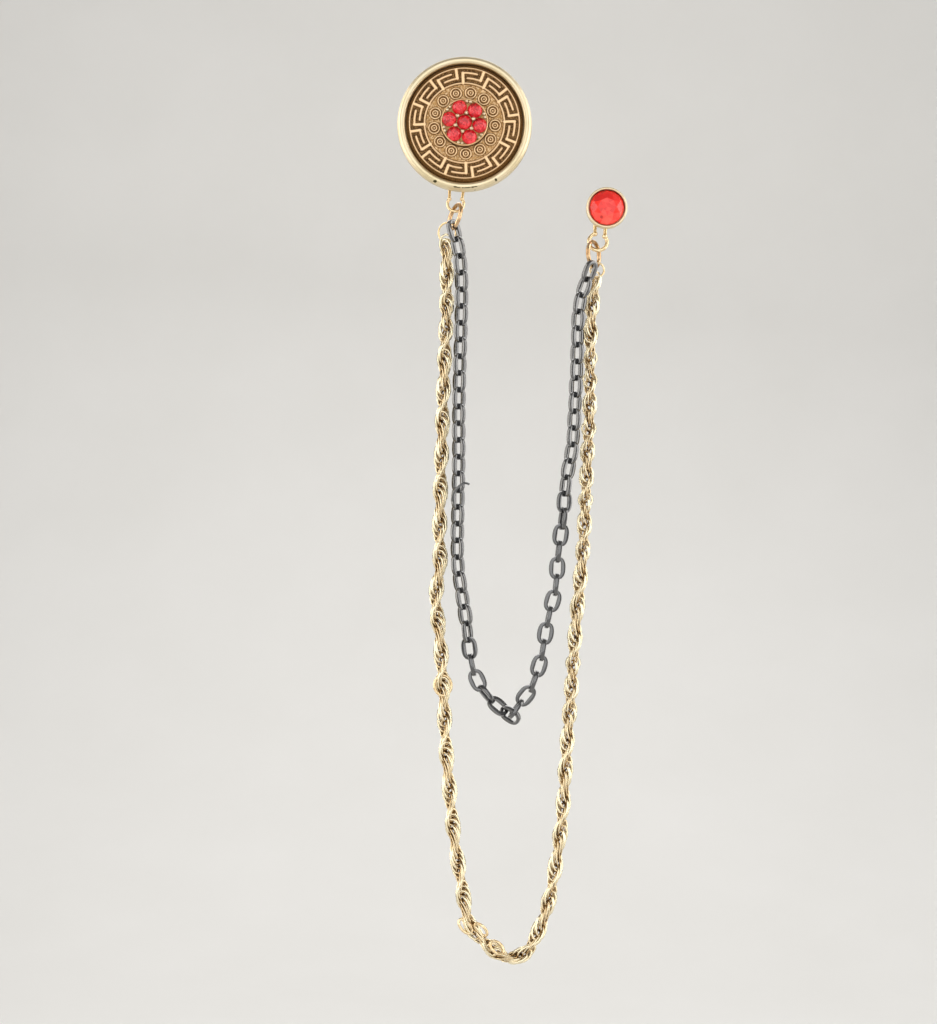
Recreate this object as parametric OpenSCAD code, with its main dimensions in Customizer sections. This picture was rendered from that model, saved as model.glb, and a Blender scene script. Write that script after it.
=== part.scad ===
// Lapel chain: a round medallion and a small stud are pinned to a lapel, and two
// chains of different length hang between them, a gold rope and a black cable chain.
// The cloth is the plane y = 0. The front faces -Y, +X is to the right and +Z is up.
// The origin is the middle of the medallion's back, where its post goes through the cloth.

/* [Medallion] */
// Outer diameter of the medallion's cup
medallion_d = 28; // [26:0.5:31]
// Depth of the cup, from its back to the crest of its rim
cup_depth = 3.1; // [2.9:0.1:4]
// Thickness of the cup's floor
cup_floor = 0.8; // [0.6:0.1:1]
// Width of the rolled rim
rim_w = 1.5; // [1.2:0.1:1.8]
// Thickness of the relief plate that lies in the cup
plate_t = 1.8; // [1.4:0.1:2]
// Height of the raised pattern above the plate
relief_h = 0.35; // [0.2:0.05:0.5]
// Width of a raised line of the pattern
line_w = 0.3; // [0.24:0.02:0.4]
// Units of the key pattern round the plate
key_count = 12; // [8:1:16]
// Double circles round the plate, inside the key pattern
circle_count = 13; // [8:1:14]

/* [Flower] */
// Diameter of the disc that carries the flower
flower_d = 9.8; // [9.4:0.2:11]
// Diameter of each small stone
stone_d = 2.8; // [2.4:0.1:2.9]
// Distance from the middle of the flower to the middle of a petal stone
petal_r = 3.2; // [3.1:0.1:3.4]
// Petal stones round the middle one
petal_count = 6; // [5:1:6]

/* [Stud] */
// Outer diameter of the stud's bezel
stud_d = 8.5; // [7:0.1:10]
// Width of the bezel's rim
bezel_w = 0.55; // [0.4:0.05:0.8]
// Depth of the bezel, from its back to its rim
bezel_depth = 3.1; // [2.6:0.1:4]
// Height of the stone's crown above its girdle
crown_h = 1.25; // [0.8:0.05:1.6]

/* [Backs] */
// Thickness of the pads that lie against the cloth
pad_t = 1; // [0.8:0.1:1.2]
// Diameter of the medallion's pad
medallion_pad_d = 12; // [9:0.5:16]
// Diameter of the stud's pad
stud_pad_d = 6; // [5.4:0.2:6.6]
// Diameter of the posts
post_d = 1.1; // [0.9:0.1:1.4]
// Length of the straight part of a post
post_len = 7; // [5:0.5:10]

/* [Wire loops and jump rings] */
// Wire of the medallion's loop
loop_wire = 0.65; // [0.55:0.05:0.8]
// Outer diameter of the medallion's loop
loop_d = 4.05; // [3.8:0.05:4.4]
// Wire of the stud's loop
stud_loop_wire = 0.8; // [0.65:0.05:0.85]
// Outer diameter of the stud's loop
stud_loop_d = 4.6; // [4.4:0.05:4.8]
// How far the loops lean forward out of the plane of the cloth, in degrees
loop_lean = 15; // [12:1:18]
// Outer diameter of a jump ring
jump_d = 6.2; // [6.1:0.1:6.4]
// Wire of a jump ring
jump_wire = 0.9; // [0.7:0.05:0.95]

/* [Gold rope chain] */
// Diameter of the rope at its bulges
rope_d = 2.9; // [2:0.1:3.1]
// Diameter of the rope where its ends narrow to the end rings
rope_neck_d = 1.7; // [1:0.1:2]
// Wire of the rope's rings
rope_wire = 0.44; // [0.3:0.02:0.5]
// Outer diameter of the loose ring at the left end
left_ring_d = 4.6; // [4.5:0.1:4.8]
// Outer diameter of the ring at the right end
right_ring_d = 3.4; // [3.3:0.1:3.6]

/* [Black cable chain] */
// Distance from one link to the next
link_pitch = 3.5; // [3.1:0.05:4]
// Outer width of a link
link_w = 3.45; // [3.2:0.05:3.7]
// Thickness of the end of a link, along the chain
link_end = 0.73; // [0.6:0.01:0.8]
// Thickness of a link across its flat faces
link_t = 0.8; // [0.6:0.05:0.85]
// Play of one link's wire in the opening of the next
link_play = 0.75; // [0.6:0.05:0.9]

/* [Hidden] */
$fn = 48;

gold = "#e6cf96";
pale_gold = "#efe2bd";
warm_gold = "#cf9c5e";
black = "#26262a";
red = "#d8323c";
coral = "#f0483f";

// Gap between two pieces that lie against each other
seat_gap = 0.05;

// Heights toward the viewer, counted from the cloth
cup_back = pad_t + seat_gap;
rim_crest = cup_back + cup_depth;
plate_back = cup_back + cup_floor + seat_gap;
plate_top = plate_back + plate_t;
flower_back = plate_top + seat_gap;

// Radii of the medallion, from its rim to its middle
cup_r = medallion_d / 2;
rim_slope = 0.2;
cup_inner_r = cup_r - rim_w - rim_slope;
plate_r = cup_inner_r - 2 * seat_gap;
bevel_w = 0.65;
outer_line_r = plate_r - bevel_w - line_w / 2;
key_band = 3.15;
inner_line_r = outer_line_r - key_band;
circle_ring_r = inner_line_r - 1.9;
big_circle_d = 2.3;
small_circle_d = 1.26;
dot_d = 0.42;
circle_line = 0.22;
cup_chamfer = 0.8;

// The key pattern in shares of one unit, clockwise and from the inner line outward
key_line_w = 0.3;
inner_stem = 0.075;
inner_bar_end = 0.62;
inner_bar_height = 0.68;
outer_stem = 0.835;
outer_bar_end = 0.27;
outer_bar_height = 0.335;
key_start_deg = 25.9;
circle_start_deg = 11.5;
petal_start_deg = -18.5;

// The flower's disc and its stones
stone_clear = 0.05;
flower_lip = 0.3;
flower_t = 0.9;
seat_depth = 0.6;
flower_top = flower_back + flower_t;
stone_pavilion = seat_depth - seat_gap - 0.1;
stone_crown = 0.75;
girdle_t = 0.14;

// The stud, and where it is pinned, from the medallion
stud_x = 29.5;
stud_z = -17.5;
bezel_back = pad_t + seat_gap;
bezel_rim = bezel_back + bezel_depth;
bezel_r = stud_d / 2;
bezel_bore_r = bezel_r - bezel_w;
bezel_foot_r = bezel_r - 0.75;
bezel_floor = 0.9;
big_stone_r = bezel_bore_r - 0.1;
big_girdle_t = 0.3;
big_girdle_z = bezel_rim - 0.65;
big_pavilion = big_girdle_z - bezel_back - bezel_floor - seat_gap;

// Loops: the ring's middle and the shoulders, from the middle of each back
leg_z = 0.5;
medallion_bend = -(cup_r - 1.4);
medallion_loop_at = [-1.85, -(cup_r + 2.5)];
medallion_legs = [[-3.1, -4.2], [-0.1, -4.4]];
medallion_open = [140, 38];
stud_bend = -(bezel_r - 0.95);
stud_loop_at = [-1.7, -(bezel_r + 2.65)];
stud_legs = [[-2.25, -0.9], [-0.05, -1.8]];
stud_open = [108, 40];
knob_share = 1.55;

// Rings: middle, turn about the vertical, lean to the right. Each hangs in the loop or ring above.
jump_left_at = [-2, -3.1, medallion_loop_at[1] - 2.8];
jump_left_turn = [-67, 17];
jump_right_at = [stud_x + stud_loop_at[0] - 1, -2.9, stud_z + stud_loop_at[1] - 2.7];
jump_right_turn = [61, -3];
rope_ring_left_at = jump_left_at + [-1.6, 1.5, -3.1];
rope_ring_left_turn = [-30, -11];
rope_ring_right_at = jump_right_at + [0.8, 0.8, -3.1];
rope_ring_right_turn = [13, 4];

// Where the chains start and end, in the rings that they hang from
rope_start = rope_ring_left_at + [-0.1, -0.1, -2.5];
rope_end = rope_ring_right_at + [-0.4, 0.5, -1.8];
black_start = jump_left_at + [-0.6, -1.1, -1.4];
black_end = jump_right_at + [-0.4, -2.6, -2.2];

// Route of the gold rope, from the left ring round the bottom to the right ring
rope_route = [
    [-3.7, -1.7, -24.9], [-3.7, -1.7, -30], [-3.7, -1.7, -37], [-4, -1.7, -45.1],
    [-4.4, -1.7, -55.1], [-4.7, -1.7, -65.2], [-5, -1.7, -75.2], [-5.2, -1.7, -85.3],
    [-5.1, -1.7, -91.4], [-5.9, -1.7, -97.4], [-5.7, -1.7, -101.4], [-5.2, -1.7, -106.4],
    [-4.7, -1.7, -112.5], [-4.3, -1.7, -120.5], [-3.8, -1.7, -130.6], [-2.9, -1.7, -140.7],
    [-2, -1.7, -149.7], [-0.6, -1.7, -157.8], [0.2, -1.7, -163.3], [1.6, -1.7, -167.3],
    [3.6, -1.8, -169.5], [5.8, -1.8, -171.6], [8.2, -1.8, -173.1], [10.8, -1.8, -173.2],
    [13, -1.8, -171.9], [14.6, -1.8, -169.3], [15.8, -1.7, -166.8], [17.5, -1.7, -161.8],
    [19.5, -1.7, -150.7], [20.6, -1.7, -140.7], [21.2, -1.7, -130.6], [22, -1.7, -120.5],
    [22.7, -1.7, -110.5], [23.5, -1.7, -100.4], [24.5, -1.7, -90.3], [25.1, -1.7, -80.3],
    [25.5, -1.7, -70.2], [26, -1.7, -60.2], [26.1, -1.7, -50.1], [26.4, -1.6, -40],
    [27.2, -1.6, -32]
];
// Routes of the black chain: from the left jump ring down, and from the bottom up
black_left_route = [
    [-2.6, -4.2, -20.7], [-1.7, -3.9, -24], [-0.9, -3.2, -28], [-0.6, -2.7, -33],
    [-0.7, -2.6, -40.1], [-1, -2.6, -50.1], [-1.2, -2.6, -60.2], [-1.2, -2.6, -70.2],
    [-1.4, -2.6, -80.3], [-1.5, -2.6, -90.3], [-0.9, -2.6, -95.4], [-0.1, -2.6, -100.4],
    [0.6, -2.6, -105.4], [1.2, -2.6, -110.5], [2, -2.6, -114.1], [3.4, -2.6, -117.1],
    [5.5, -2.6, -119.7], [8.28, -2.76, -122.02]
];
black_right_route = [
    [9.68, -4.14, -122.69], [11.7, -3.1, -119.9], [13.8, -3.2, -117.3], [15, -3.4, -113.9],
    [16, -3.4, -110.5], [16.8, -3.4, -105.4], [17.7, -3.4, -101], [18.6, -3.4, -98.1],
    [19.1, -3.4, -94.4], [19.3, -3.4, -90.3], [19.8, -3.4, -86.3], [20.6, -3.4, -80.3],
    [20.9, -3.4, -75.3], [21.6, -3.4, -71.2], [22.4, -3.4, -67.2], [22.8, -3.4, -60.2],
    [23.3, -3.4, -50.1], [23.6, -3.4, -40.1], [24.2, -3.8, -35.7], [25.3, -4.4, -32.5],
    [26.4, -5.5, -29.3]
];
// Roll of the even links at the start and the end of each arm, and how late it changes
left_rolls = [45, -49.5, 6];
right_rolls = [5, 45, 1];
bottom_link_at = [9.18, -2.81, -122.32];
bottom_link_way = [0.88, 0.02, -0.51];
bottom_link_roll = -34;

// How the routes are sampled and cut
route_steps = 6;
rope_runs = 10;
rope_rings = 7;
rope_sides = 8;
run_gap = 0.15;
black_runs = 4;
link_overlap = 0.06;
link_slack = 0.45;
link_bore = link_t + link_play;
view_axis = [0, 1, 0];

function mix(a, b, t) = a + (b - a) * t;
function unit(v) = v / norm(v);
function on_circle(r, deg) = [r * sin(deg), r * cos(deg)];
function arc(c, r, a0, a1, n) =
    [for (i = [0:n]) let (a = mix(a0, a1, i / n)) c + r * [cos(a), sin(a)]];

// A route moved so that it starts and ends at the given points
function hung(route, start, end) = let (last = len(route) - 1)
    [for (i = [0:last]) route[i] + mix(start - route[0], end - route[last], i / last)];

// A smooth curve through a few points
function spline_at(a, b, c, d, t) =
    0.5 * (2 * b + (c - a) * t + (2 * a - 5 * b + 4 * c - d) * t * t + (3 * b - a - 3 * c + d) * t * t * t);
function smooth(p) = let (last = len(p) - 1) concat(
    [for (i = [0:last - 1]) for (k = [0:route_steps - 1])
        spline_at(p[max(i - 1, 0)], p[i], p[i + 1], p[min(i + 2, last)], k / route_steps)],
    [p[last]]
);
// Length along the curve at each of its points
function lengths(p, i = 1, sum = [0]) =
    i == len(p) ? sum : lengths(p, i + 1, concat(sum, [sum[i - 1] + norm(p[i] - p[i - 1])]));
function total(l) = l[len(l) - 1];
function stretch(l, s) = max([for (i = [0:len(l) - 2]) l[i] <= s ? i : 0]);
function along(p, l, s) = let (i = stretch(l, s)) mix(p[i], p[i + 1], (s - l[i]) / (l[i + 1] - l[i]));

rope_curve = smooth(hung(rope_route, rope_start, rope_end));
rope_lengths = lengths(rope_curve);
left_curve = smooth(hung(black_left_route, black_start, black_left_route[len(black_left_route) - 1]));
left_lengths = lengths(left_curve);
right_curve = smooth(hung(black_right_route, black_right_route[0], black_end));
right_lengths = lengths(right_curve);

// Turns a piece so that its X lies along the given way, and its Y as near the view as it can
module lay_along(at, way) {
    x = unit(way);
    y = unit(view_axis - (view_axis * x) * x);
    z = cross(x, y);
    multmatrix([
        [x[0], y[0], z[0], at[0]],
        [x[1], y[1], z[1], at[1]],
        [x[2], y[2], z[2], at[2]],
        [0, 0, 0, 1]
    ]) children();
}

// Turns a piece drawn flat, with Z toward the viewer, upright
module face_front() {
    rotate([90, 0, 0]) children();
}

module ring_shape(r, w) {
    difference() {
        circle(r + w / 2);
        circle(r - w / 2);
    }
}

// Part of a flat ring, its angles clockwise from the top
module bar_shape(r, w, a0, a1) {
    steps = 5;
    polygon(concat(
        [for (i = [0:steps]) on_circle(r - w / 2, mix(a0, a1, i / steps))],
        [for (i = [steps:-1:0]) on_circle(r + w / 2, mix(a0, a1, i / steps))]
    ));
}

module stem_shape(deg, r0, r1) {
    rotate(-deg) translate([-key_line_w / 2, r0]) square([key_line_w, r1 - r0]);
}

// One unit of the key pattern: a hook that rises from the inner line and one that hangs
module key_shape(start) {
    unit_deg = 360 / key_count;
    high = inner_line_r + inner_bar_height * key_band;
    low = inner_line_r + outer_bar_height * key_band;
    outer_bar_last = outer_stem + inner_stem;
    stem_shape(start + inner_stem * unit_deg, inner_line_r, high + key_line_w / 2);
    bar_shape(high, key_line_w, start, start + inner_bar_end * unit_deg);
    stem_shape(start + outer_stem * unit_deg, low - key_line_w / 2, outer_line_r);
    bar_shape(low, key_line_w, start + outer_bar_end * unit_deg, start + outer_bar_last * unit_deg);
}

module double_circle_shape() {
    ring_shape((big_circle_d - circle_line) / 2, circle_line);
    ring_shape((small_circle_d - circle_line) / 2, circle_line);
    circle(d = dot_d);
}

// The dish with its rolled rim
module medallion_cup() {
    crest_r = rim_w / 2;
    color(pale_gold) face_front() rotate_extrude($fn = 96) polygon(concat(
        [[0, cup_back], [cup_r - cup_chamfer, cup_back], [cup_r, cup_back + cup_chamfer]],
        arc([cup_r - rim_slope - crest_r, rim_crest - crest_r], crest_r, 0, 180, 8),
        [[cup_inner_r, cup_back + cup_floor], [0, cup_back + cup_floor]]
    ));
}

// The cast plate with its key pattern and its circles
module medallion_plate() {
    sunk = 0.1;
    color(gold) face_front() {
        rotate_extrude($fn = 96) polygon([
            [0, plate_back], [plate_r, plate_back], [plate_r, plate_top - bevel_w],
            [plate_r - bevel_w, plate_top], [0, plate_top]
        ]);
        translate([0, 0, plate_top - sunk]) linear_extrude(relief_h + sunk) {
            ring_shape(outer_line_r, line_w);
            ring_shape(inner_line_r, line_w);
            for (i = [0:key_count - 1]) key_shape(key_start_deg + i * 360 / key_count);
            for (i = [0:circle_count - 1])
                translate(on_circle(circle_ring_r, circle_start_deg + i * 360 / circle_count))
                    double_circle_shape();
        }
    }
}

function petal_at(i) =
    i == petal_count ? [0, 0] : on_circle(petal_r, petal_start_deg + i * 360 / petal_count);

// The disc in the middle, with a thin lip and a seat for each stone
module flower_disc() {
    r = flower_d / 2;
    color(pale_gold) face_front() difference() {
        rotate_extrude() polygon([
            [0, flower_back], [r - 0.3, flower_back], [r, flower_back + 0.3], [r, flower_top + flower_lip],
            [r - flower_lip, flower_top + flower_lip], [r - flower_lip, flower_top], [0, flower_top]
        ]);
        for (i = [0:petal_count])
            translate([petal_at(i)[0], petal_at(i)[1], flower_top - seat_depth])
                cylinder(h = seat_depth + 1, d = stone_d + 2 * stone_clear);
    }
}

// A round stone: table, kite facets, girdle and a flat-bottomed pavilion, girdle foot at z = 0
module faceted_stone(r, girdle, crown, pavilion) {
    thin = 0.01;
    hull() {
        translate([0, 0, -pavilion]) cylinder(h = thin, r = 0.5 * r, $fn = 8);
        cylinder(h = girdle, r = r, $fn = 16);
        rotate(22.5) translate([0, 0, girdle + 0.58 * crown]) cylinder(h = thin, r = 0.79 * r, $fn = 8);
        translate([0, 0, girdle + crown - thin]) cylinder(h = thin, r = 0.52 * r, $fn = 8);
    }
}

module flower_stone(i) {
    color(red) face_front()
        translate([petal_at(i)[0], petal_at(i)[1], flower_top]) rotate(i * 17)
            faceted_stone(stone_d / 2, girdle_t, stone_crown, stone_pavilion);
}

module at_stud() {
    translate([stud_x, 0, stud_z]) face_front() children();
}

// The collet of the stud
module stud_bezel() {
    edge = bezel_w / 2;
    color(pale_gold) at_stud() rotate_extrude($fn = 64) polygon(concat(
        [[0, bezel_back], [bezel_foot_r, bezel_back], [bezel_r, bezel_back + 1.1]],
        arc([bezel_r - edge, bezel_rim - edge], edge, 0, 180, 6),
        [[bezel_bore_r, bezel_back + bezel_floor], [0, bezel_back + bezel_floor]]
    ));
}

module stud_stone() {
    color(coral) at_stud() translate([0, 0, big_girdle_z])
        faceted_stone(big_stone_r, big_girdle_t, crown_h, big_pavilion);
}

// A straight piece of wire between two points
module wire_piece(a, b, d) {
    way = b - a;
    flat = norm([way[0], way[1]]);
    translate(a) rotate([0, atan2(flat, way[2]), atan2(way[1], way[0])])
        cylinder(h = norm(way), d = d, $fn = 24);
}

// A pad with its post and a keyhole loop of wire soldered to it, drawn flat on the cloth
module back_with_loop(pad_d, wire, loop_od, ring_at, legs, bend, open_deg) {
    r = (loop_od - wire) / 2;
    knob = knob_share * wire;
    tip = 0.8;
    cylinder(h = pad_t, d = pad_d);
    translate([0, 0, -post_len]) cylinder(h = post_len + pad_t / 2, d = post_d);
    translate([0, 0, -post_len - tip]) cylinder(h = tip + seat_gap, d1 = 0.3, d2 = post_d);
    reach = ring_at[1] - bend;
    for (k = [0:1]) {
        shoulder = [ring_at[0] + r * cos(open_deg[k]), reach + r * sin(open_deg[k])];
        elbow = [legs[k][0], bend, leg_z];
        wire_piece([legs[k][0], legs[k][1], leg_z], elbow, wire);
        translate(elbow) sphere(d = wire * 1.06, $fn = 24);
        translate([0, bend, leg_z]) rotate([-loop_lean, 0, 0]) {
            wire_piece([elbow[0], 0, 0], [shoulder[0], shoulder[1], 0], wire);
            translate([shoulder[0], shoulder[1], 0]) sphere(d = knob, $fn = 24);
        }
    }
    translate([0, bend, leg_z]) rotate([-loop_lean, 0, 0]) translate([ring_at[0], reach, 0])
        rotate(open_deg[0]) rotate_extrude(angle = 360 - open_deg[0] + open_deg[1])
            translate([r, 0]) circle(d = wire, $fn = 24);
}

module medallion_back() {
    color(gold) face_front() back_with_loop(
        medallion_pad_d, loop_wire, loop_d,
        medallion_loop_at, medallion_legs, medallion_bend, medallion_open
    );
}

module stud_back() {
    color(gold) at_stud() back_with_loop(
        stud_pad_d, stud_loop_wire, stud_loop_d,
        stud_loop_at, stud_legs, stud_bend, stud_open
    );
}

// A closed ring of wire, turned about the vertical and then leaned
module wire_ring(at, turn, d, wire) {
    translate(at) rotate([0, turn[1], 0]) rotate([0, 0, turn[0]]) rotate([90, 0, 0])
        rotate_extrude() translate([(d - wire) / 2, 0]) circle(d = wire, $fn = 24);
}

// One stretch of the rope, swept along the route as a plain tube that narrows at both ends
rope_length = total(rope_lengths);
function rope_at(s) = along(rope_curve, rope_lengths, min(max(s, 0), rope_length - 0.001));
function rope_r(s) = mix(rope_neck_d, rope_d, min(1, min(s, rope_length - s) / rope_d)) / 2;
function rope_way(s) = unit(rope_at(s + 1) - rope_at(s - 1));
function rope_ring(s) = let (
    x = rope_way(s),
    y = unit(view_axis - (view_axis * x) * x),
    z = cross(x, y)
) [for (k = [0:rope_sides - 1]) let (a = 360 * k / rope_sides)
    rope_at(s) + rope_r(s) * (cos(a) * y + sin(a) * z)];

module gold_rope(k) {
    run = rope_length / rope_runs;
    from = (k - 1) * run + (k == 1 ? 0 : run_gap / 2);
    to = k * run - (k == rope_runs ? 0 : run_gap / 2);
    points = [for (i = [0:rope_rings]) each rope_ring(mix(from, to, i / rope_rings))];
    n = rope_sides;
    color(gold) polyhedron(points, concat(
        [[for (j = [n - 1:-1:0]) j]],
        [for (i = [0:rope_rings - 1]) for (j = [0:n - 1])
            [i * n + j, i * n + (j + 1) % n, (i + 1) * n + (j + 1) % n, (i + 1) * n + j]],
        [[for (j = [0:n - 1]) rope_rings * n + j]]
    ));
}

// An oval with straight sides and round ends, its length along X
module oval(l, w) {
    square([l - w, w], center = true);
    for (side = [-1, 1]) translate([side * (l - w) / 2, 0]) circle(d = w, $fn = 32);
}

module link(pitch) {
    opening = pitch - link_overlap;
    linear_extrude(link_t, center = true) difference() {
        oval(opening + 2 * link_end, link_w);
        oval(opening, link_bore);
    }
}

// The links of one run, joined where they touch. A little slack parts it from the next run.
// Their number is even, so the last link keeps its turn on what it hangs from.
module link_run(curve, table, k, rolls) {
    length = total(table) + link_slack * (black_runs - 1);
    count = 2 * round(length / link_pitch / 2);
    pitch = length / count;
    first = round((k - 1) * count / black_runs);
    last = round(k * count / black_runs) - 1;
    for (i = [first:last]) {
        s = i * pitch - (k - 1) * link_slack;
        a = along(curve, table, max(s, 0));
        b = along(curve, table, min(s + pitch, total(table) - 0.001));
        roll = mix(rolls[0], rolls[1], pow(i / count, rolls[2])) + 90 * i;
        lay_along((a + b) / 2, b - a) rotate([roll, 0, 0]) link(pitch);
    }
}

module black_chain(k) {
    color(black)
        if (k <= black_runs) link_run(left_curve, left_lengths, k, left_rolls);
        else link_run(right_curve, right_lengths, k - black_runs, right_rolls);
}

module black_bottom_link() {
    color(black) lay_along(bottom_link_at, bottom_link_way)
        rotate([bottom_link_roll, 0, 0]) link(link_pitch);
}

medallion_cup();
medallion_plate();
medallion_back();
flower_disc();
for (i = [0:petal_count])
    flower_stone(i);
stud_bezel();
stud_stone();
stud_back();
color(warm_gold) wire_ring(jump_left_at, jump_left_turn, jump_d, jump_wire);  // jump_ring_left
color(warm_gold) wire_ring(jump_right_at, jump_right_turn, jump_d, jump_wire);  // jump_ring_right
color(gold) wire_ring(rope_ring_left_at, rope_ring_left_turn, left_ring_d, rope_wire);  // rope_ring_left
color(gold) wire_ring(rope_ring_right_at, rope_ring_right_turn, right_ring_d, rope_wire);  // rope_ring_right
for (k = [1:rope_runs])
    gold_rope(k);
for (k = [1:2 * black_runs])
    black_chain(k);
black_bottom_link();
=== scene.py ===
import math
import random

import bmesh
import bpy
import numpy as np
from mathutils import Matrix, Vector, noise


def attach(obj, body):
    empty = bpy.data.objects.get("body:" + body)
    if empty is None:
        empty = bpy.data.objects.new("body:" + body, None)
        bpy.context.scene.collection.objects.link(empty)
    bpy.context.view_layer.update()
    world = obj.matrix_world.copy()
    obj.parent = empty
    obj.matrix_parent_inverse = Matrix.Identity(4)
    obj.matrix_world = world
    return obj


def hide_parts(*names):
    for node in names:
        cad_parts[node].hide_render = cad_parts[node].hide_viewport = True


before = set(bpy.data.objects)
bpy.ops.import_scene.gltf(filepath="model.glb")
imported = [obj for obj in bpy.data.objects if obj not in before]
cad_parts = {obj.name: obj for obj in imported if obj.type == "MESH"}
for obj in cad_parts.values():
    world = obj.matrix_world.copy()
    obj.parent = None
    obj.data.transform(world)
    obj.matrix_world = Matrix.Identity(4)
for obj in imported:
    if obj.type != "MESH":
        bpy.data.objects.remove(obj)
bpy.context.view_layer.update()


# The view: the jewel hangs upright, as on a lapel, with the camera level with the middle
# of the chains. Two tall soft boxes stand right at its sides, as in a light tent, a wide
# one in front and a small one behind. The camera's and the jewel's sizes are in mm.
MM = 0.001
CAMERA_AWAY = 400
CAMERA_X = 0.83
CAMERA_Z = -80.56
CAMERA_NEAREST = 10
LENS_MM = 67.24
SENSOR_MM = 36


def put_in_scene(name, data):
    """A new object that holds this data, at the origin."""
    thing = bpy.data.objects.new(name, data)
    bpy.context.scene.collection.objects.link(thing)
    return thing


camera_data = bpy.data.cameras.new("camera")
camera_data.sensor_width = SENSOR_MM
camera_data.lens = LENS_MM
camera_data.clip_start = CAMERA_NEAREST * MM
camera = put_in_scene("camera", camera_data)
camera.location = (CAMERA_X * MM, -CAMERA_AWAY * MM, CAMERA_Z * MM)
camera.rotation_euler = (math.pi / 2, 0, 0)
bpy.context.scene.camera = camera
bpy.context.scene.view_settings.view_transform = "Standard"


def linear(code):
    """An sRGB hex colour as the linear colour that a shader takes."""
    parts = [int(code[i:i + 2], 16) / 255 for i in (1, 3, 5)]
    return tuple(p / 12.92 if p <= 0.04045 else ((p + 0.055) / 1.055) ** 2.4 for p in parts) + (1.0,)


def add_node(tree, kind, inputs=None, stops=(), **settings):
    """Adds a node, sets it up with its colour stops if it has any, and fills or links its inputs."""
    node = tree.nodes.new(kind)
    for key, value in settings.items():
        setattr(node, key, value)
    if stops:
        ramp = node.color_ramp.elements
        while len(ramp) < len(stops):
            ramp.new(1.0)
        for stop, (at, code) in zip(ramp, stops):
            stop.position = at
            stop.color = linear(code)
    for key, value in (inputs or {}).items():
        if isinstance(value, bpy.types.NodeSocket):
            tree.links.new(value, node.inputs[key])
        else:
            node.inputs[key].default_value = value
    return node


JEWEL_MIDDLE = Vector((0.01, 0, -0.08))


def soft_box(name, place, width, height, watts, tint):
    """A rectangular soft box at a place in metres, turned to the middle of the jewel."""
    lamp = bpy.data.lights.new(name, "AREA")
    lamp.shape = "RECTANGLE"
    lamp.size = width
    lamp.size_y = height
    lamp.energy = watts
    lamp.color = linear(tint)[:3]
    box = put_in_scene(name, lamp)
    box.location = place
    box.rotation_euler = (JEWEL_MIDDLE - Vector(place)).to_track_quat("-Z", "Y").to_euler()


soft_box("soft_box_left", (-0.9, -0.05, 0.0), 0.8, 1.5, 11, "#FFFBF4")
soft_box("soft_box_right", (0.9, -0.05, 0.0), 0.8, 1.5, 11, "#FFFDFA")
soft_box("soft_box_front", (0.0, -1.3, 0.25), 1.6, 1.3, 11, "#FFFFFF")
soft_box("soft_box_behind", (0.1, 1.0, 0.8), 1.2, 0.8, 6, "#FFFFFF")

world = bpy.data.worlds.new("studio")
world.use_nodes = True
world.node_tree.nodes.clear()
tent = add_node(world.node_tree, "ShaderNodeBackground", {"Color": linear("#EDECEA"), "Strength": 0.45})
add_node(world.node_tree, "ShaderNodeOutputWorld", {"Surface": tent.outputs[0]})
bpy.context.scene.world = world


# The floor: a sweep of painted board far below the jewel, which runs back from under it
# and bends up in one round into the wall behind. It isn't part of the jewel. Metres.
FLOOR_Z = -0.42
SWEEP_HALF = 3.0
SWEEP_BACK = 1.6
SWEEP_TOP = 2.4
SWEEP_BEND_R = 0.7
BEND_STEPS = 16


def new_finish(name, **sockets):
    """A material with its one surface shader. Values that are the same all over go on its own sockets."""
    material = bpy.data.materials.new(name)
    material.use_nodes = True
    tree = material.node_tree
    tree.nodes.clear()
    shader = add_node(tree, "ShaderNodeBsdfPrincipled", {k.replace("_", " "): v for k, v in sockets.items()})
    add_node(tree, "ShaderNodeOutputMaterial", {"Surface": shader.outputs[0]})
    return material, tree, shader


def rippled_finish(name, ripple_mm, detail, tones, gloss=None, dents=None, **sockets):
    """A painted, plated or lacquered skin whose tone drifts over ripples of one real size.

    The gloss is the roughness at the two ends of the ripple, and the dents are how strong and how deep.
    """
    material, tree, shader = new_finish(name, **sockets)
    place = add_node(tree, "ShaderNodeTexCoord")
    ripple = add_node(tree, "ShaderNodeTexNoise",
                      {"Vector": place.outputs["Object"], "Scale": 1000 / ripple_mm, "Detail": detail})
    tone = add_node(tree, "ShaderNodeValToRGB", {"Fac": ripple.outputs["Fac"]}, tones)
    tree.links.new(tone.outputs["Color"], shader.inputs["Base Color"])
    if gloss:
        sheen = add_node(tree, "ShaderNodeMapRange",
                         {"Value": ripple.outputs["Fac"], "To Min": gloss[0], "To Max": gloss[1]})
        tree.links.new(sheen.outputs[0], shader.inputs["Roughness"])
    if dents:
        dent = add_node(tree, "ShaderNodeBump",
                        {"Height": ripple.outputs["Fac"], "Strength": dents[0], "Distance": dents[1] * MM})
        tree.links.new(dent.outputs[0], shader.inputs["Normal"])
    return material


# Matt painted board: a pale warm grey with a faint mottle from the roller.
board = rippled_finish("painted_board", ripple_mm=120, detail=4.0,
                       tones=((0.0, "#E6E5E2"), (1.0, "#EDECEA")), Roughness=0.7)

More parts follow.
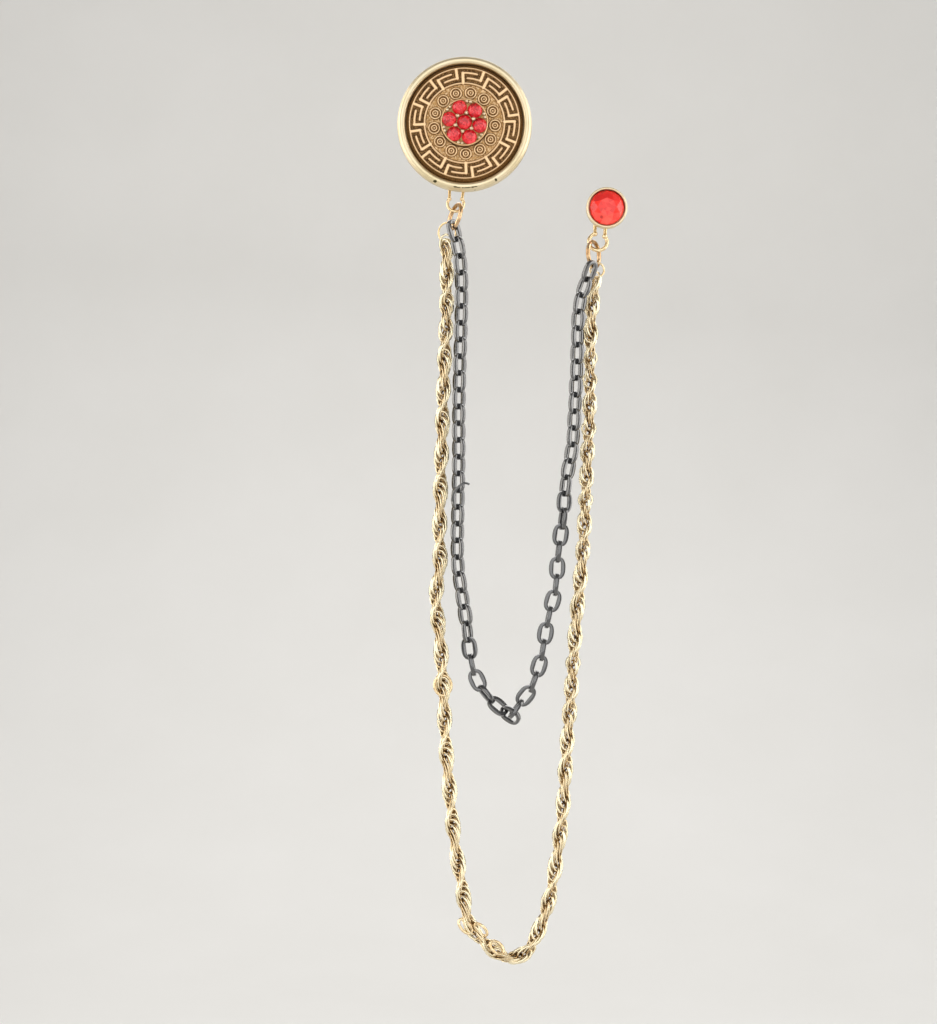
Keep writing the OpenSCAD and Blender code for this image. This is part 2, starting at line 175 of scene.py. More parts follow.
bend = [math.radians(-90 + 90 * i / BEND_STEPS) for i in range(BEND_STEPS + 1)]
sweep = [(-SWEEP_HALF, FLOOR_Z)]
sweep += [(SWEEP_BACK + SWEEP_BEND_R * (math.cos(t) - 1), FLOOR_Z + SWEEP_BEND_R * (math.sin(t) + 1))
          for t in bend]
sweep += [(SWEEP_BACK, SWEEP_TOP)]
floor_mesh = bpy.data.meshes.new("floor")
floor_mesh.from_pydata(
    [(side * SWEEP_HALF, y, z) for y, z in sweep for side in (-1, 1)], [],
    [(2 * i, 2 * i + 1, 2 * i + 3, 2 * i + 2) for i in range(len(sweep) - 1)])
for polygon in floor_mesh.polygons:
    polygon.use_smooth = True
floor_mesh.materials.append(board)
floor = put_in_scene("floor", floor_mesh)


# The cup: a shallow die-cast dish with a rolled rim, plated in pale champagne gold and
# satin polished. A fine seam runs round where the roll meets the side wall. The plating
# has gone in three spots and along a short line at the bottom of the rim.
SEAT_GAP = 0.05
PAD_T = 1.0
CUP_R = 14
CUP_BACK = PAD_T + SEAT_GAP
CUP_DEPTH = 3.1
CUP_FLOOR = 0.8
CUP_STEPS = 192
BACK_FLAT_IN = 1.2
BACK_ROUND = 0.8
BACK_RISE = 0.08
RIM_W = 1.5
RIM_SLOPE = 0.2
CUP_INNER_R = CUP_R - RIM_W - RIM_SLOPE
CREST_R = RIM_W / 2
CREST_MIDDLE = CUP_R - RIM_SLOPE - CREST_R
CREST_FOOT = CUP_BACK + CUP_DEPTH - CREST_R
SEAM_IN = 0.12
SEAM_DEPTH = 0.09
SEAM_W = 0.09
SEAM_UNDER = 0.05
MERGE_MM = 0.0001


def arc(middle, radius, first, last, steps):
    """Points of an arc, angles in degrees."""
    turns = [math.radians(first + (last - first) * i / steps) for i in range(steps + 1)]
    return [(middle[0] + radius * math.cos(t), middle[1] + radius * math.sin(t)) for t in turns]


def turned(profile, middle, steps):
    """A piece turned on a lathe whose axis points to the viewer. The profile is radius and height in mm."""
    verts, faces, rows = [], [], []
    for radius, height in profile:
        if radius == 0:
            rows.append([len(verts)] * steps)
            verts.append((middle[0], -height, middle[1]))
            continue
        rows.append(list(range(len(verts), len(verts) + steps)))
        for k in range(steps):
            a = math.tau * k / steps
            verts.append((middle[0] + radius * math.sin(a), -height, middle[1] + radius * math.cos(a)))
    for row, after in zip(rows, rows[1:]):
        for k in range(steps):
            corners = [row[k], row[(k + 1) % steps], after[(k + 1) % steps], after[k]]
            faces.append(list(dict.fromkeys(corners)))
    return verts, faces


def mended(mesh):
    """The mesh with its doubles merged and its faces turned outward."""
    work = bmesh.new()
    work.from_mesh(mesh)
    bmesh.ops.remove_doubles(work, verts=work.verts, dist=MERGE_MM * MM)
    bmesh.ops.recalc_face_normals(work, faces=work.faces)
    work.to_mesh(mesh)
    work.free()
    return mesh


def solid_mesh(name, shape):
    """A sound mesh from points in mm and faces."""
    mesh = bpy.data.meshes.new(name)
    mesh.from_pydata([tuple(c * MM for c in v) for v in shape[0]], [], shape[1])
    return mended(mesh)


def handed_over(name, mesh, material, stands_for=(), sharp=35):
    """Gives a mesh its one material and its shading, and hands it to the frame."""
    mesh.materials.clear()
    mesh.materials.append(material)
    for polygon in mesh.polygons:
        polygon.use_smooth = sharp > 0
    if 0 < sharp < 180:
        mesh.set_sharp_from_angle(angle=math.radians(sharp))
    piece = put_in_scene(name, mesh)
    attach(piece, "root")
    if stands_for:
        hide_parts(*stands_for)
    return piece


def finished_piece(name, shape, material, stands_for=(), sharp=35):
    """A piece straight from its points and faces."""
    return handed_over(name, solid_mesh(name, shape), material, stands_for, sharp)


# Champagne gold plate, satin polished: broad soft highlights over a cream metal, with a
# faint unevenness of the casting, and green-brown spots where the plating is gone.
GRAIN_MM = 0.5
CLOUD_MM = 6.0
WORN_SPOTS = (((-6.15, 3.9, -12.05), 0.85), ((6.5, 3.9, -11.9), 0.8), ((2.2, 2.9, -13.75), 0.4))
WORN_SPOT_CORE = 0.25
WORN_LINE_R = 13.4
WORN_LINE_W = 0.32
WORN_LINE_DEG = 14
WORN_LINE_FADE = (0.955, 0.975)
champagne, tree, shader = new_finish("champagne_gold_plate", Metallic=1.0)
place = add_node(tree, "ShaderNodeTexCoord")
cloud = add_node(tree, "ShaderNodeTexNoise",
                 {"Vector": place.outputs["Object"], "Scale": 1000 / CLOUD_MM, "Detail": 3.0})
tone = add_node(tree, "ShaderNodeValToRGB", {"Fac": cloud.outputs["Fac"]},
                ((0.3, "#CDBE9A"), (0.7, "#DFD0B2")))
flat_place = add_node(tree, "ShaderNodeVectorMath",
                      {0: place.outputs["Object"], 1: (1.0, 0.0, 1.0)}, operation="MULTIPLY")
from_axis = add_node(tree, "ShaderNodeVectorMath", {0: flat_place.outputs[0]}, operation="LENGTH")
off_line = add_node(tree, "ShaderNodeMath",
                    {0: from_axis.outputs["Value"], 1: WORN_LINE_R * MM}, operation="SUBTRACT")
off_line = add_node(tree, "ShaderNodeMath", {0: off_line.outputs[0]}, operation="ABSOLUTE")
on_line = add_node(tree, "ShaderNodeMapRange",
                   {"Value": off_line.outputs[0], "From Max": WORN_LINE_W * MM, "To Min": 1.0, "To Max": 0.0})
line_way = add_node(tree, "ShaderNodeVectorMath", {0: place.outputs["Object"]}, operation="NORMALIZE")
to_bottom = add_node(tree, "ShaderNodeVectorMath",
                     {0: line_way.outputs[0], 1: (0.0, 0.0, -1.0)}, operation="DOT_PRODUCT")
line_end = math.cos(math.radians(WORN_LINE_DEG))
low_part = add_node(tree, "ShaderNodeMapRange", {
    "Value": to_bottom.outputs["Value"], "From Min": WORN_LINE_FADE[0] * line_end,
    "From Max": WORN_LINE_FADE[1] * line_end})
spots = add_node(tree, "ShaderNodeMath",
                 {0: on_line.outputs[0], 1: low_part.outputs[0]}, operation="MULTIPLY").outputs[0]
for (x, height, z), size in WORN_SPOTS:
    away = add_node(tree, "ShaderNodeVectorMath",
                    {0: place.outputs["Object"], 1: (x * MM, -height * MM, z * MM)}, operation="DISTANCE")
    near = add_node(tree, "ShaderNodeMapRange",
                    {"Value": away.outputs["Value"], "From Min": WORN_SPOT_CORE * size * MM,
                     "From Max": size * MM, "To Min": 1.0, "To Max": 0.0})
    spots = add_node(tree, "ShaderNodeMath", {0: spots, 1: near.outputs[0]}, operation="MAXIMUM").outputs[0]
grain = add_node(tree, "ShaderNodeTexNoise",
                 {"Vector": place.outputs["Object"], "Scale": 1000 / GRAIN_MM, "Detail": 4.0})
tone_key = add_node(tree, "ShaderNodeMath", {0: spots, 1: grain.outputs["Fac"]}, operation="MULTIPLY")
worn_edge = add_node(tree, "ShaderNodeMapRange",
                     {"Value": tone_key.outputs[0], "From Min": 0.3, "From Max": 0.4})
skin = add_node(tree, "ShaderNodeMix",
                {"Factor": worn_edge.outputs[0], 6: tone.outputs["Color"], 7: linear("#3E3A22")},
                data_type="RGBA")
tree.links.new(skin.outputs[2], shader.inputs["Base Color"])
gloss = add_node(tree, "ShaderNodeMapRange",
                 {"Value": grain.outputs["Fac"], "To Min": 0.36, "To Max": 0.5})
tree.links.new(gloss.outputs[0], shader.inputs["Roughness"])
peel = add_node(tree, "ShaderNodeBump",
                {"Height": grain.outputs["Fac"], "Strength": 0.15, "Distance": 0.02 * MM})
tree.links.new(peel.outputs[0], shader.inputs["Normal"])

cup_profile = (
    [(0, CUP_BACK), (CUP_R - BACK_FLAT_IN, CUP_BACK), (CUP_R - BACK_ROUND, CUP_BACK + BACK_RISE)]
    + arc((CUP_R - BACK_ROUND, CUP_BACK + BACK_RISE + BACK_ROUND), BACK_ROUND, -75, 0, 6)
    + [(CUP_R - SEAM_IN, CREST_FOOT - SEAM_UNDER - SEAM_W),
       (CUP_R - SEAM_IN - SEAM_DEPTH, CREST_FOOT - SEAM_UNDER)]
    + arc((CREST_MIDDLE, CREST_FOOT), CREST_R, 4, 180, 24)
    + [(CUP_INNER_R, CUP_BACK + CUP_FLOOR), (0, CUP_BACK + CUP_FLOOR)]
)
finished_piece("cup", turned(cup_profile, (0, 0), CUP_STEPS), champagne, ["medallion_cup"])


# The relief plate: one cast plate that lies in the cup. A key pattern of hooks stands
# between two raised lines, with a ring of double circles on a granulated ground inside.
# The raised work is rubbed back to gold, and the sunk ground keeps its brown patina,
# with painted shade along the foot of the relief.
PLATE_T = 1.8
PLATE_BACK = CUP_BACK + CUP_FLOOR + SEAT_GAP
PLATE_TOP = PLATE_BACK + PLATE_T
PLATE_R = CUP_INNER_R - 2 * SEAT_GAP
PLATE_BACK_IN = 1.0
BEVEL_W = 0.65
BEVEL_KNEE = (0.4, 0.6)
RELIEF_H = 0.35
OUTER_LINE_R = 11.4
KEY_BAND = 3.15
INNER_LINE_R = OUTER_LINE_R - KEY_BAND
KEY_COUNT = 12
KEY_UNIT = math.tau / KEY_COUNT
KEY_START = math.radians(25.9)
# The hooks of the key pattern, in shares of their unit round the plate and of the band.
INNER_STEM, INNER_BAR_END, INNER_BAR_HEIGHT = 0.075, 0.62, 0.68
OUTER_STEM, OUTER_BAR_START, OUTER_BAR_HEIGHT = 0.835, 0.27, 0.335
STEM_HALF = 0.33
BAR_HALF = 0.24
LINE_HALF = 0.2
CIRCLE_COUNT = 13
CIRCLE_UNIT = math.tau / CIRCLE_COUNT
CIRCLE_START = math.radians(11.5)
CIRCLE_RING_R = INNER_LINE_R - 1.9
CIRCLE_RADII = (1.1, 0.52)
CIRCLE_HALF = 0.16
DOT_R = 0.22
SHOULDER = 0.07
DISC_SEAT_R = 4.5
GROUND_FROM = 4.95
GROUND_TO = INNER_LINE_R - 0.3
GRAIN_SIZE = 0.42
GRAIN_REACH = 0.62
GRAIN_H = 0.1
RELIEF_STEP = 0.085
RELIEF_AROUND = 840

stations = np.arange(DISC_SEAT_R, PLATE_R - BEVEL_W, RELIEF_STEP)
turns = np.arange(RELIEF_AROUND) * math.tau / RELIEF_AROUND
radius, turn = np.meshgrid(stations, turns, indexing="ij")
share = ((turn - KEY_START) / KEY_UNIT) % 1.0


def raised(distance, half):
    """How far a cast line stands at this distance from its middle, 0 to 1, with soft shoulders."""
    t = np.clip((half + SHOULDER - distance) / (2 * SHOULDER), 0, 1)
    return t * t * (3 - 2 * t)


def bar_distance(at_radius, first, last):
    """How far each point lies from an arc of its key unit, between two shares of the unit."""
    off = np.minimum(np.abs(share - first), np.abs(share - last))
    off = np.where((share >= first) & (share <= last), 0, np.minimum(off, 1 - off))
    return np.hypot(radius * off * KEY_UNIT, radius - at_radius)


def stem_distance(at_share, low, high):
    """How far each point lies from a spoke of its key unit, between two radii."""
    off = np.abs(share - at_share)
    off = np.minimum(off, 1 - off)
    return np.hypot(radius * off * KEY_UNIT, np.maximum(np.maximum(low - radius, radius - high), 0))


high_bar = INNER_LINE_R + INNER_BAR_HEIGHT * KEY_BAND
low_bar = INNER_LINE_R + OUTER_BAR_HEIGHT * KEY_BAND
nearest = (turn - CIRCLE_START + CIRCLE_UNIT / 2) % CIRCLE_UNIT - CIRCLE_UNIT / 2
from_middle = np.hypot(radius * np.sin(nearest), radius * np.cos(nearest) - CIRCLE_RING_R)
relief = np.maximum.reduce([
    raised(np.abs(radius - OUTER_LINE_R), LINE_HALF),
    raised(np.abs(radius - INNER_LINE_R), LINE_HALF),
    raised(stem_distance(INNER_STEM, INNER_LINE_R, high_bar), STEM_HALF),
    raised(bar_distance(high_bar, INNER_STEM, INNER_BAR_END), BAR_HALF),
    raised(stem_distance(OUTER_STEM, low_bar, OUTER_LINE_R), STEM_HALF),
    raised(bar_distance(low_bar, OUTER_BAR_START, OUTER_STEM), BAR_HALF),
    raised(np.abs(from_middle - CIRCLE_RADII[0]), CIRCLE_HALF),
    raised(np.abs(from_middle - CIRCLE_RADII[1]), CIRCLE_HALF),
    raised(from_middle, DOT_R),
])

in_ground = (radius > GROUND_FROM) & (radius < GROUND_TO)
grains = np.zeros_like(relief)
for i, k in zip(*np.nonzero(in_ground)):
    r, t = stations[i], turns[k]
    gap = noise.voronoi(Vector((r * math.sin(t), r * math.cos(t), 0.0)) / GRAIN_SIZE)[0][0]
    grains[i, k] = max(0.0, 1 - (gap / GRAIN_REACH) ** 2)
height = PLATE_TOP + RELIEF_H * relief + GRAIN_H * grains * (1 - relief)

# How far the brown is rubbed off, 0 to 1: all of it on the raised work, nearly half on
# the ground and more on top of its grains, but hardly any in the floor of the key pattern.
# Along the foot of each circle and of the inner line the ground is darker still: patina
# with painted shade where the relief meets the ground.
GRAIN_TONES = (0.44, 0.42)
OUTLINE_TONE = 0.2
OUTLINE_W = 0.26
SUNK_TONE = 0.12
RIM_TONE = 0.34
# Painted shade: the ground darkens towards the foot of each circle and of the inner line.
outline = np.minimum.reduce([np.abs(from_middle - r) for r in CIRCLE_RADII] + [INNER_LINE_R - radius])
foot_patina_and_shade = np.clip(OUTLINE_TONE + (outline - CIRCLE_HALF) / OUTLINE_W, OUTLINE_TONE, 1)
ground_patina_and_shade = (GRAIN_TONES[0] + GRAIN_TONES[1] * grains) * foot_patina_and_shade
patina_and_shade = np.maximum(relief, np.where(in_ground, ground_patina_and_shade, SUNK_TONE))

rims = [(PLATE_R - BEVEL_W, PLATE_TOP),
        (PLATE_R - BEVEL_KNEE[0] * BEVEL_W, PLATE_TOP - BEVEL_KNEE[1] * BEVEL_W),
        (PLATE_R, PLATE_TOP - BEVEL_W), (PLATE_R, PLATE_BACK),
        (PLATE_R - PLATE_BACK_IN, PLATE_BACK), (DISC_SEAT_R, PLATE_BACK)]
rows = len(stations) + len(rims)
all_radius = np.vstack([radius] + [np.full((1, RELIEF_AROUND), r) for r, _ in rims])
all_height = np.vstack([height] + [np.full((1, RELIEF_AROUND), h) for _, h in rims])
all_patina_and_shade = np.vstack([patina_and_shade, np.full((len(rims), RELIEF_AROUND), RIM_TONE)])
all_turn = np.tile(turns, (rows, 1))
points = np.stack([all_radius * np.sin(all_turn), -all_height, all_radius * np.cos(all_turn)], axis=-1)
index = np.arange(rows * RELIEF_AROUND).reshape(rows, RELIEF_AROUND)
after = np.roll(index, -1, axis=1)
down = np.roll(index, -1, axis=0)
down_after = np.roll(down, -1, axis=1)
quads = np.stack([index, after, down_after, down], axis=-1).reshape(-1, 4)

# Antique gold casting: worn gold on what stands up, brown patina in what lies low with
# painted shade at the foot of the relief, and a soft grainy skin that breaks the highlights.
SKIN_MM = 0.3
antique, tree, shader = new_finish("antique_gold_casting", Metallic=0.85)
place = add_node(tree, "ShaderNodeTexCoord")
stands = add_node(tree, "ShaderNodeAttribute", attribute_name="patina_and_shade")
skin_grain = add_node(tree, "ShaderNodeTexNoise",
                      {"Vector": place.outputs["Object"], "Scale": 1000 / SKIN_MM, "Detail": 5.0})
rubbed_and_shaded = add_node(tree, "ShaderNodeMath",
                  {0: skin_grain.outputs["Fac"], 1: 0.8, 2: stands.outputs["Fac"]}, operation="MULTIPLY_ADD")
rub_and_shade = add_node(tree, "ShaderNodeMath", {0: rubbed_and_shaded.outputs[0], 1: 0.4}, operation="SUBTRACT")
tone = add_node(tree, "ShaderNodeValToRGB", {"Fac": rub_and_shade.outputs[0]},
                ((0.05, "#4C341C"), (0.45, "#A88252"), (0.9, "#CEAE86")))
tree.links.new(tone.outputs["Color"], shader.inputs["Base Color"])
gloss = add_node(tree, "ShaderNodeMapRange", {"Value": rub_and_shade.outputs[0], "To Min": 0.62, "To Max": 0.3})
tree.links.new(gloss.outputs[0], shader.inputs["Roughness"])
peel = add_node(tree, "ShaderNodeBump",
                {"Height": skin_grain.outputs["Fac"], "Strength": 0.5, "Distance": 0.05 * MM})
tree.links.new(peel.outputs[0], shader.inputs["Normal"])

plate_mesh = bpy.data.meshes.new("relief_plate")
plate_mesh.vertices.add(rows * RELIEF_AROUND)
plate_mesh.vertices.foreach_set("co", (points * MM).astype(np.float32).ravel())
plate_mesh.loops.add(quads.size)
plate_mesh.loops.foreach_set("vertex_index", quads.astype(np.int32).ravel())
plate_mesh.polygons.add(len(quads))
plate_mesh.polygons.foreach_set("loop_start", np.arange(0, quads.size, 4, dtype=np.int32))
plate_mesh.update(calc_edges=True)
patina_and_shade_mark = plate_mesh.attributes.new("patina_and_shade", "FLOAT", "POINT")
patina_and_shade_mark.data.foreach_set("value", all_patina_and_shade.astype(np.float32).ravel())
handed_over("relief_plate", plate_mesh, antique, ["medallion_plate"], sharp=180)


# The flower: a thin disc with a raised lip, pressed and toned like the plate, with a seat
# for each of seven stones. Little claws of champagne plate hold the stones down, one in
# each gap round the middle stone and a pair outside each gap between the petals.
FLOWER_R = 4.9
FLOWER_T = 0.9
FLOWER_BACK = PLATE_TOP + SEAT_GAP
FLOWER_TOP = FLOWER_BACK + FLOWER_T
FLOWER_EASE = 0.3
FLOWER_LIP = 0.3
LIP_EASE = 0.08
LIP_TOP = FLOWER_TOP + FLOWER_LIP
LIP_INNER_R = FLOWER_R - FLOWER_LIP
LIP_TONE = 0.7
SEAT_TONE = 0.3
TONE_CHANGE = 0.1
DISC_STEPS = 96
PETAL_R = 3.2
PETAL_COUNT = 6
PETAL_START = -18.5
SEAT_R = 1.48
SEAT_DEPTH = 0.6
SEAT_STEPS = 32
CUTTER_TOP = FLOWER_TOP + 1
INNER_CLAWS_R = 1.95
OUTER_CLAWS_R = 4.35
# The radius of a claw's round head, and how high its stem stands.
INNER_CLAW = (0.45, 0.32)
OUTER_CLAW = (0.34, 0.16)
CLAW_PAIR = 5
CLAW_FOOT = 0.1
CLAW_STEPS = 12


def on_dial(distance, degrees):
    """A place on the medallion's face, the angle clockwise from the top."""
    return distance * math.sin(math.radians(degrees)), distance * math.cos(math.radians(degrees))


def joined(*shapes):
    """Several lists of points and faces as one."""
    verts, faces = [], []
    for more_verts, more_faces in shapes:
        start = len(verts)
        verts += list(more_verts)
        faces += [[start + i for i in face] for face in more_faces]
    return verts, faces


petal_turns = [PETAL_START + i * 360 / PETAL_COUNT for i in range(PETAL_COUNT)]
stone_places = [on_dial(PETAL_R, degrees) for degrees in petal_turns] + [(0, 0)]
disc_profile = [
    (0, FLOWER_BACK), (FLOWER_R - FLOWER_EASE, FLOWER_BACK), (FLOWER_R, FLOWER_BACK + FLOWER_EASE),
    (FLOWER_R, LIP_TOP - LIP_EASE), (FLOWER_R - LIP_EASE, LIP_TOP),
    (LIP_INNER_R + LIP_EASE, LIP_TOP), (LIP_INNER_R, LIP_TOP - LIP_EASE),
    (LIP_INNER_R, FLOWER_TOP), (0, FLOWER_TOP),
]
seat_profile = [
    (0, FLOWER_TOP - SEAT_DEPTH), (SEAT_R, FLOWER_TOP - SEAT_DEPTH), (SEAT_R, CUTTER_TOP), (0, CUTTER_TOP),
]
seats = joined(*[turned(seat_profile, stone_place, SEAT_STEPS) for stone_place in stone_places])
cutter = put_in_scene("seat_cutter", solid_mesh("seat_cutter", seats))
blank = put_in_scene("disc_blank", solid_mesh("flower_disc", turned(disc_profile, (0, 0), DISC_STEPS)))
cut = blank.modifiers.new("seats", "BOOLEAN")
cut.operation = "DIFFERENCE"
cut.solver = "EXACT"
cut.object = cutter
bpy.context.view_layer.update()
done = blank.evaluated_get(bpy.context.evaluated_depsgraph_get())
cut_disc = mended(bpy.data.meshes.new_from_object(done))
for helper in (cutter, blank):
    bpy.data.objects.remove(helper)
disc_tones = [LIP_TONE if -v.co.y > (FLOWER_TOP + TONE_CHANGE) * MM else SEAT_TONE
              for v in cut_disc.vertices]
cut_disc.attributes.new("patina_and_shade", "FLOAT", "POINT").data.foreach_set("value", disc_tones)
handed_over("flower_disc_piece", cut_disc, antique, ["flower_disc"], sharp=35)

claw_turns = [degrees + 180 / PETAL_COUNT for degrees in petal_turns]
claw_places = [(on_dial(INNER_CLAWS_R, degrees), INNER_CLAW) for degrees in claw_turns]
claw_places += [(on_dial(OUTER_CLAWS_R, degrees + side), OUTER_CLAW)
                for degrees in claw_turns for side in (-CLAW_PAIR, CLAW_PAIR)]
claws = []
for claw_place, (r, stem) in claw_places:
    dome = [(r * c, FLOWER_TOP + stem + r * s) for c, s in arc((0, 0), 1, 0, 90, 4)[:-1]]
    claw_profile = [(0, FLOWER_TOP - CLAW_FOOT), *dome, (0, FLOWER_TOP + stem + r)]
    claws.append(turned(claw_profile, claw_place, CLAW_STEPS))
finished_piece("flower_claws", joined(*claws), champagne, sharp=60)


# The small stones: round cut glass on foil, the red it throws back painted on facet by facet
# as painted reflections. Each has a table, eight kites and a belt of small facets.
STONE_R = 1.55
STONE_CROWN = 0.75
STONE_PAVILION = 0.45
STONE_GIRDLE = 0.14
STONE_TURN = 17
KEEL_SHARE = 0.5
KITE_SHARE = 0.79
KITE_RISE = 0.58
TABLE_SHARE = 0.52
STAR_SHARE = 0.26
HALF_FACET = 22.5
# The facets' painted light: its middle tone, and the size of a soft painted glow.
FACET_TONE = 0.42
GLOW_MM = 1.2
NICK_FADE = (0.2, 0.5)
NICK_DEPTH = 0.8


def cut_stone(stone_place, girdle_foot, size, girdle, crown, pavilion, turn_deg):
    """Points and faces of a round stone, with its facets as the cutter lays them."""
    def ring(count, share_of_size, level, first=0.0):
        return [(share_of_size * size, level, turn_deg + first + 360 * k / count) for k in range(count)]
    foot, belt = girdle_foot, girdle_foot + girdle
    corners = (
        ring(8, KEEL_SHARE, foot - pavilion) + ring(16, 1.0, foot) + ring(16, 1.0, belt)
        + ring(8, KITE_SHARE, belt + KITE_RISE * crown, HALF_FACET) + ring(8, TABLE_SHARE, belt + crown)
        + ring(8, STAR_SHARE, belt + crown, HALF_FACET) + [(0, belt + crown, 0), (0, foot - pavilion, 0)])
    verts = []
    for distance, level, degrees in corners:
        x = distance * math.cos(math.radians(degrees))
        z = distance * math.sin(math.radians(degrees))
        verts.append((stone_place[0] + x, -level, stone_place[1] + z))
    low, bottom, top, mid, table, star, middle, tip = 0, 8, 24, 40, 48, 56, 64, 65
    faces = []
    for k in range(8):
        n = (k + 1) % 8
        a, b, c = 2 * k, 2 * k + 1, (2 * k + 2) % 16
        faces += [
            [table + k, mid + (k - 1) % 8, top + a, mid + k],
            [table + k, mid + k, table + n],
            [mid + k, top + a, top + b], [mid + k, top + b, top + c],
            [top + a, bottom + a, bottom + b, top + b], [top + b, bottom + b, bottom + c, top + c],
            [low + k, bottom + a, bottom + b], [low + k, bottom + b, bottom + c, low + n],
            [tip, low + k, low + n],
            [table + k, table + n, star + k], [star + k, table + n, star + n], [middle, star + k, star + n],
        ]
    return verts, faces


def foiled_glass(name, deep, body, light, nick=None):
    """Cut glass on foil: each facet's tone is a painted reflection over a soft painted glow, and a clear coat
    carries the sharp glints.

    A nick is a place in mm and the dark tone that shows there.
    """
    material, tree, shader = new_finish(
        name, Roughness=0.25, Specular_IOR_Level=0.3, Coat_Weight=0.35, Coat_Roughness=0.03, Coat_IOR=1.5)
    # Painted reflections: each facet's own tone, stirred by a soft painted glow.
    painted_facet_light = add_node(tree, "ShaderNodeAttribute", attribute_name="painted_facet_light")
    place = add_node(tree, "ShaderNodeTexCoord")
    glow = add_node(tree, "ShaderNodeTexNoise",
                    {"Vector": place.outputs["Object"], "Scale": 1000 / GLOW_MM, "Detail": 2.0})
    mixed = add_node(tree, "ShaderNodeMath",
                     {0: glow.outputs["Fac"], 1: 0.35, 2: painted_facet_light.outputs["Fac"]}, operation="MULTIPLY_ADD")
    tone = add_node(tree, "ShaderNodeValToRGB", {"Fac": mixed.outputs[0]},
                    ((0.15, deep), (0.6, body), (1.0, light)))
    colour = tone.outputs["Color"]
    if nick:
        away = add_node(tree, "ShaderNodeVectorMath",
                        {0: place.outputs["Object"], 1: [c * MM for c in nick[0]]}, operation="DISTANCE")
        chipped = add_node(tree, "ShaderNodeMapRange", {
            "Value": away.outputs["Value"], "From Min": NICK_FADE[0] * MM, "From Max": NICK_FADE[1] * MM,
            "To Min": NICK_DEPTH, "To Max": 0.0})
        marred = add_node(tree, "ShaderNodeMix",
                          {"Factor": chipped.outputs[0], 6: colour, 7: linear(nick[1])}, data_type="RGBA")
        colour = marred.outputs[2]
    tree.links.new(colour, shader.inputs["Base Color"])
    return material


def paint_facet_tones(piece, seed, lean, spread):
    """Gives each facet its painted light: a painted reflection picked by chance, brighter or darker by how
    far it leans the way the light comes back.
    """
    chance = random.Random(seed)
    mark = piece.data.attributes.new("painted_facet_light", "FLOAT", "FACE")
    for polygon in piece.data.polygons:
        bias = polygon.normal.x * lean[0] + polygon.normal.z * lean[1]
        tone_of_facet = FACET_TONE + bias + spread * (chance.random() - 0.5)
        mark.data[polygon.index].value = min(1.0, max(0.0, tone_of_facet))


# Ruby red glass on foil: a deep red that flares to bright red facet by facet, in painted reflections.
ruby_glass = foiled_glass("ruby_glass_on_foil", "#7C0610", "#CE1420", "#EE4248")
for i, stone_place in enumerate(stone_places):
    facets = cut_stone(stone_place, FLOWER_TOP, STONE_R, STONE_GIRDLE, STONE_CROWN, STONE_PAVILION,
                       i * STONE_TURN)
    stone = finished_piece(f"petal_stone_{i + 1}", facets, ruby_glass,
                           [f"flower_stone_{i + 1}"], sharp=0)
    paint_facet_tones(stone, seed=10 + i, lean=(0.1, -0.15), spread=0.55)


# The stud: a turned collet of the same champagne plate, its edge rolled over one large
# coral red stone, which sits on foil like the small ones.
STUD = (29.5, -17.5)
BEZEL_BACK = PAD_T + SEAT_GAP
BEZEL_DEPTH = 3.1
BEZEL_RIM = BEZEL_BACK + BEZEL_DEPTH
BEZEL_R = 4.25
BEZEL_W = 0.55
BEZEL_FLOOR = 0.9
BEZEL_FOOT_R = 3.5
FOOT_EASE_W = 0.2
FOOT_EASE_H = 0.08
FLARE_H = 1.0
FLARE_EASE_W = 0.05
FLARE_EASE_H = 0.25
BORE_R = BEZEL_R - BEZEL_W
STONE_CLEAR = 0.1
BIG_STONE_R = BORE_R - STONE_CLEAR
BIG_GIRDLE = 0.3
BIG_CROWN = 1.25
BIG_PAVILION = 1.5
BIG_GIRDLE_SUNK = 0.65
BIG_GIRDLE_AT = BEZEL_RIM - BIG_GIRDLE_SUNK
BEZEL_STEPS = 128
NICK_AT = (28.3, -4.75, -19.6)

bezel_profile = (
    [(0, BEZEL_BACK), (BEZEL_FOOT_R - FOOT_EASE_W, BEZEL_BACK), (BEZEL_FOOT_R, BEZEL_BACK + FOOT_EASE_H),
     (BEZEL_R - FLARE_EASE_W, BEZEL_BACK + FLARE_H), (BEZEL_R, BEZEL_BACK + FLARE_H + FLARE_EASE_H)]
    + arc((BEZEL_R - BEZEL_W / 2, BEZEL_RIM - BEZEL_W / 2), BEZEL_W / 2, 0, 180, 14)
    + [(BORE_R, BEZEL_BACK + BEZEL_FLOOR), (0, BEZEL_BACK + BEZEL_FLOOR)]
)
finished_piece("collet", turned(bezel_profile, STUD, BEZEL_STEPS), champagne, ["stud_bezel"])

# Coral red glass on foil: lighter and more even than the ruby, with painted reflections on its
# facets like the small ones, and one dark nick low on its left.
coral_glass = foiled_glass("coral_glass_on_foil", "#B01010", "#EE2A20", "#FB5A4C", nick=(NICK_AT, "#A00C0C"))
facets = cut_stone(STUD, BIG_GIRDLE_AT, BIG_STONE_R, BIG_GIRDLE, BIG_CROWN, BIG_PAVILION, 0)
big_stone = finished_piece("coral_stone", facets, coral_glass, ["stud_stone"], sharp=0)
paint_facet_tones(big_stone, seed=5, lean=(0.05, -0.4), spread=0.3)


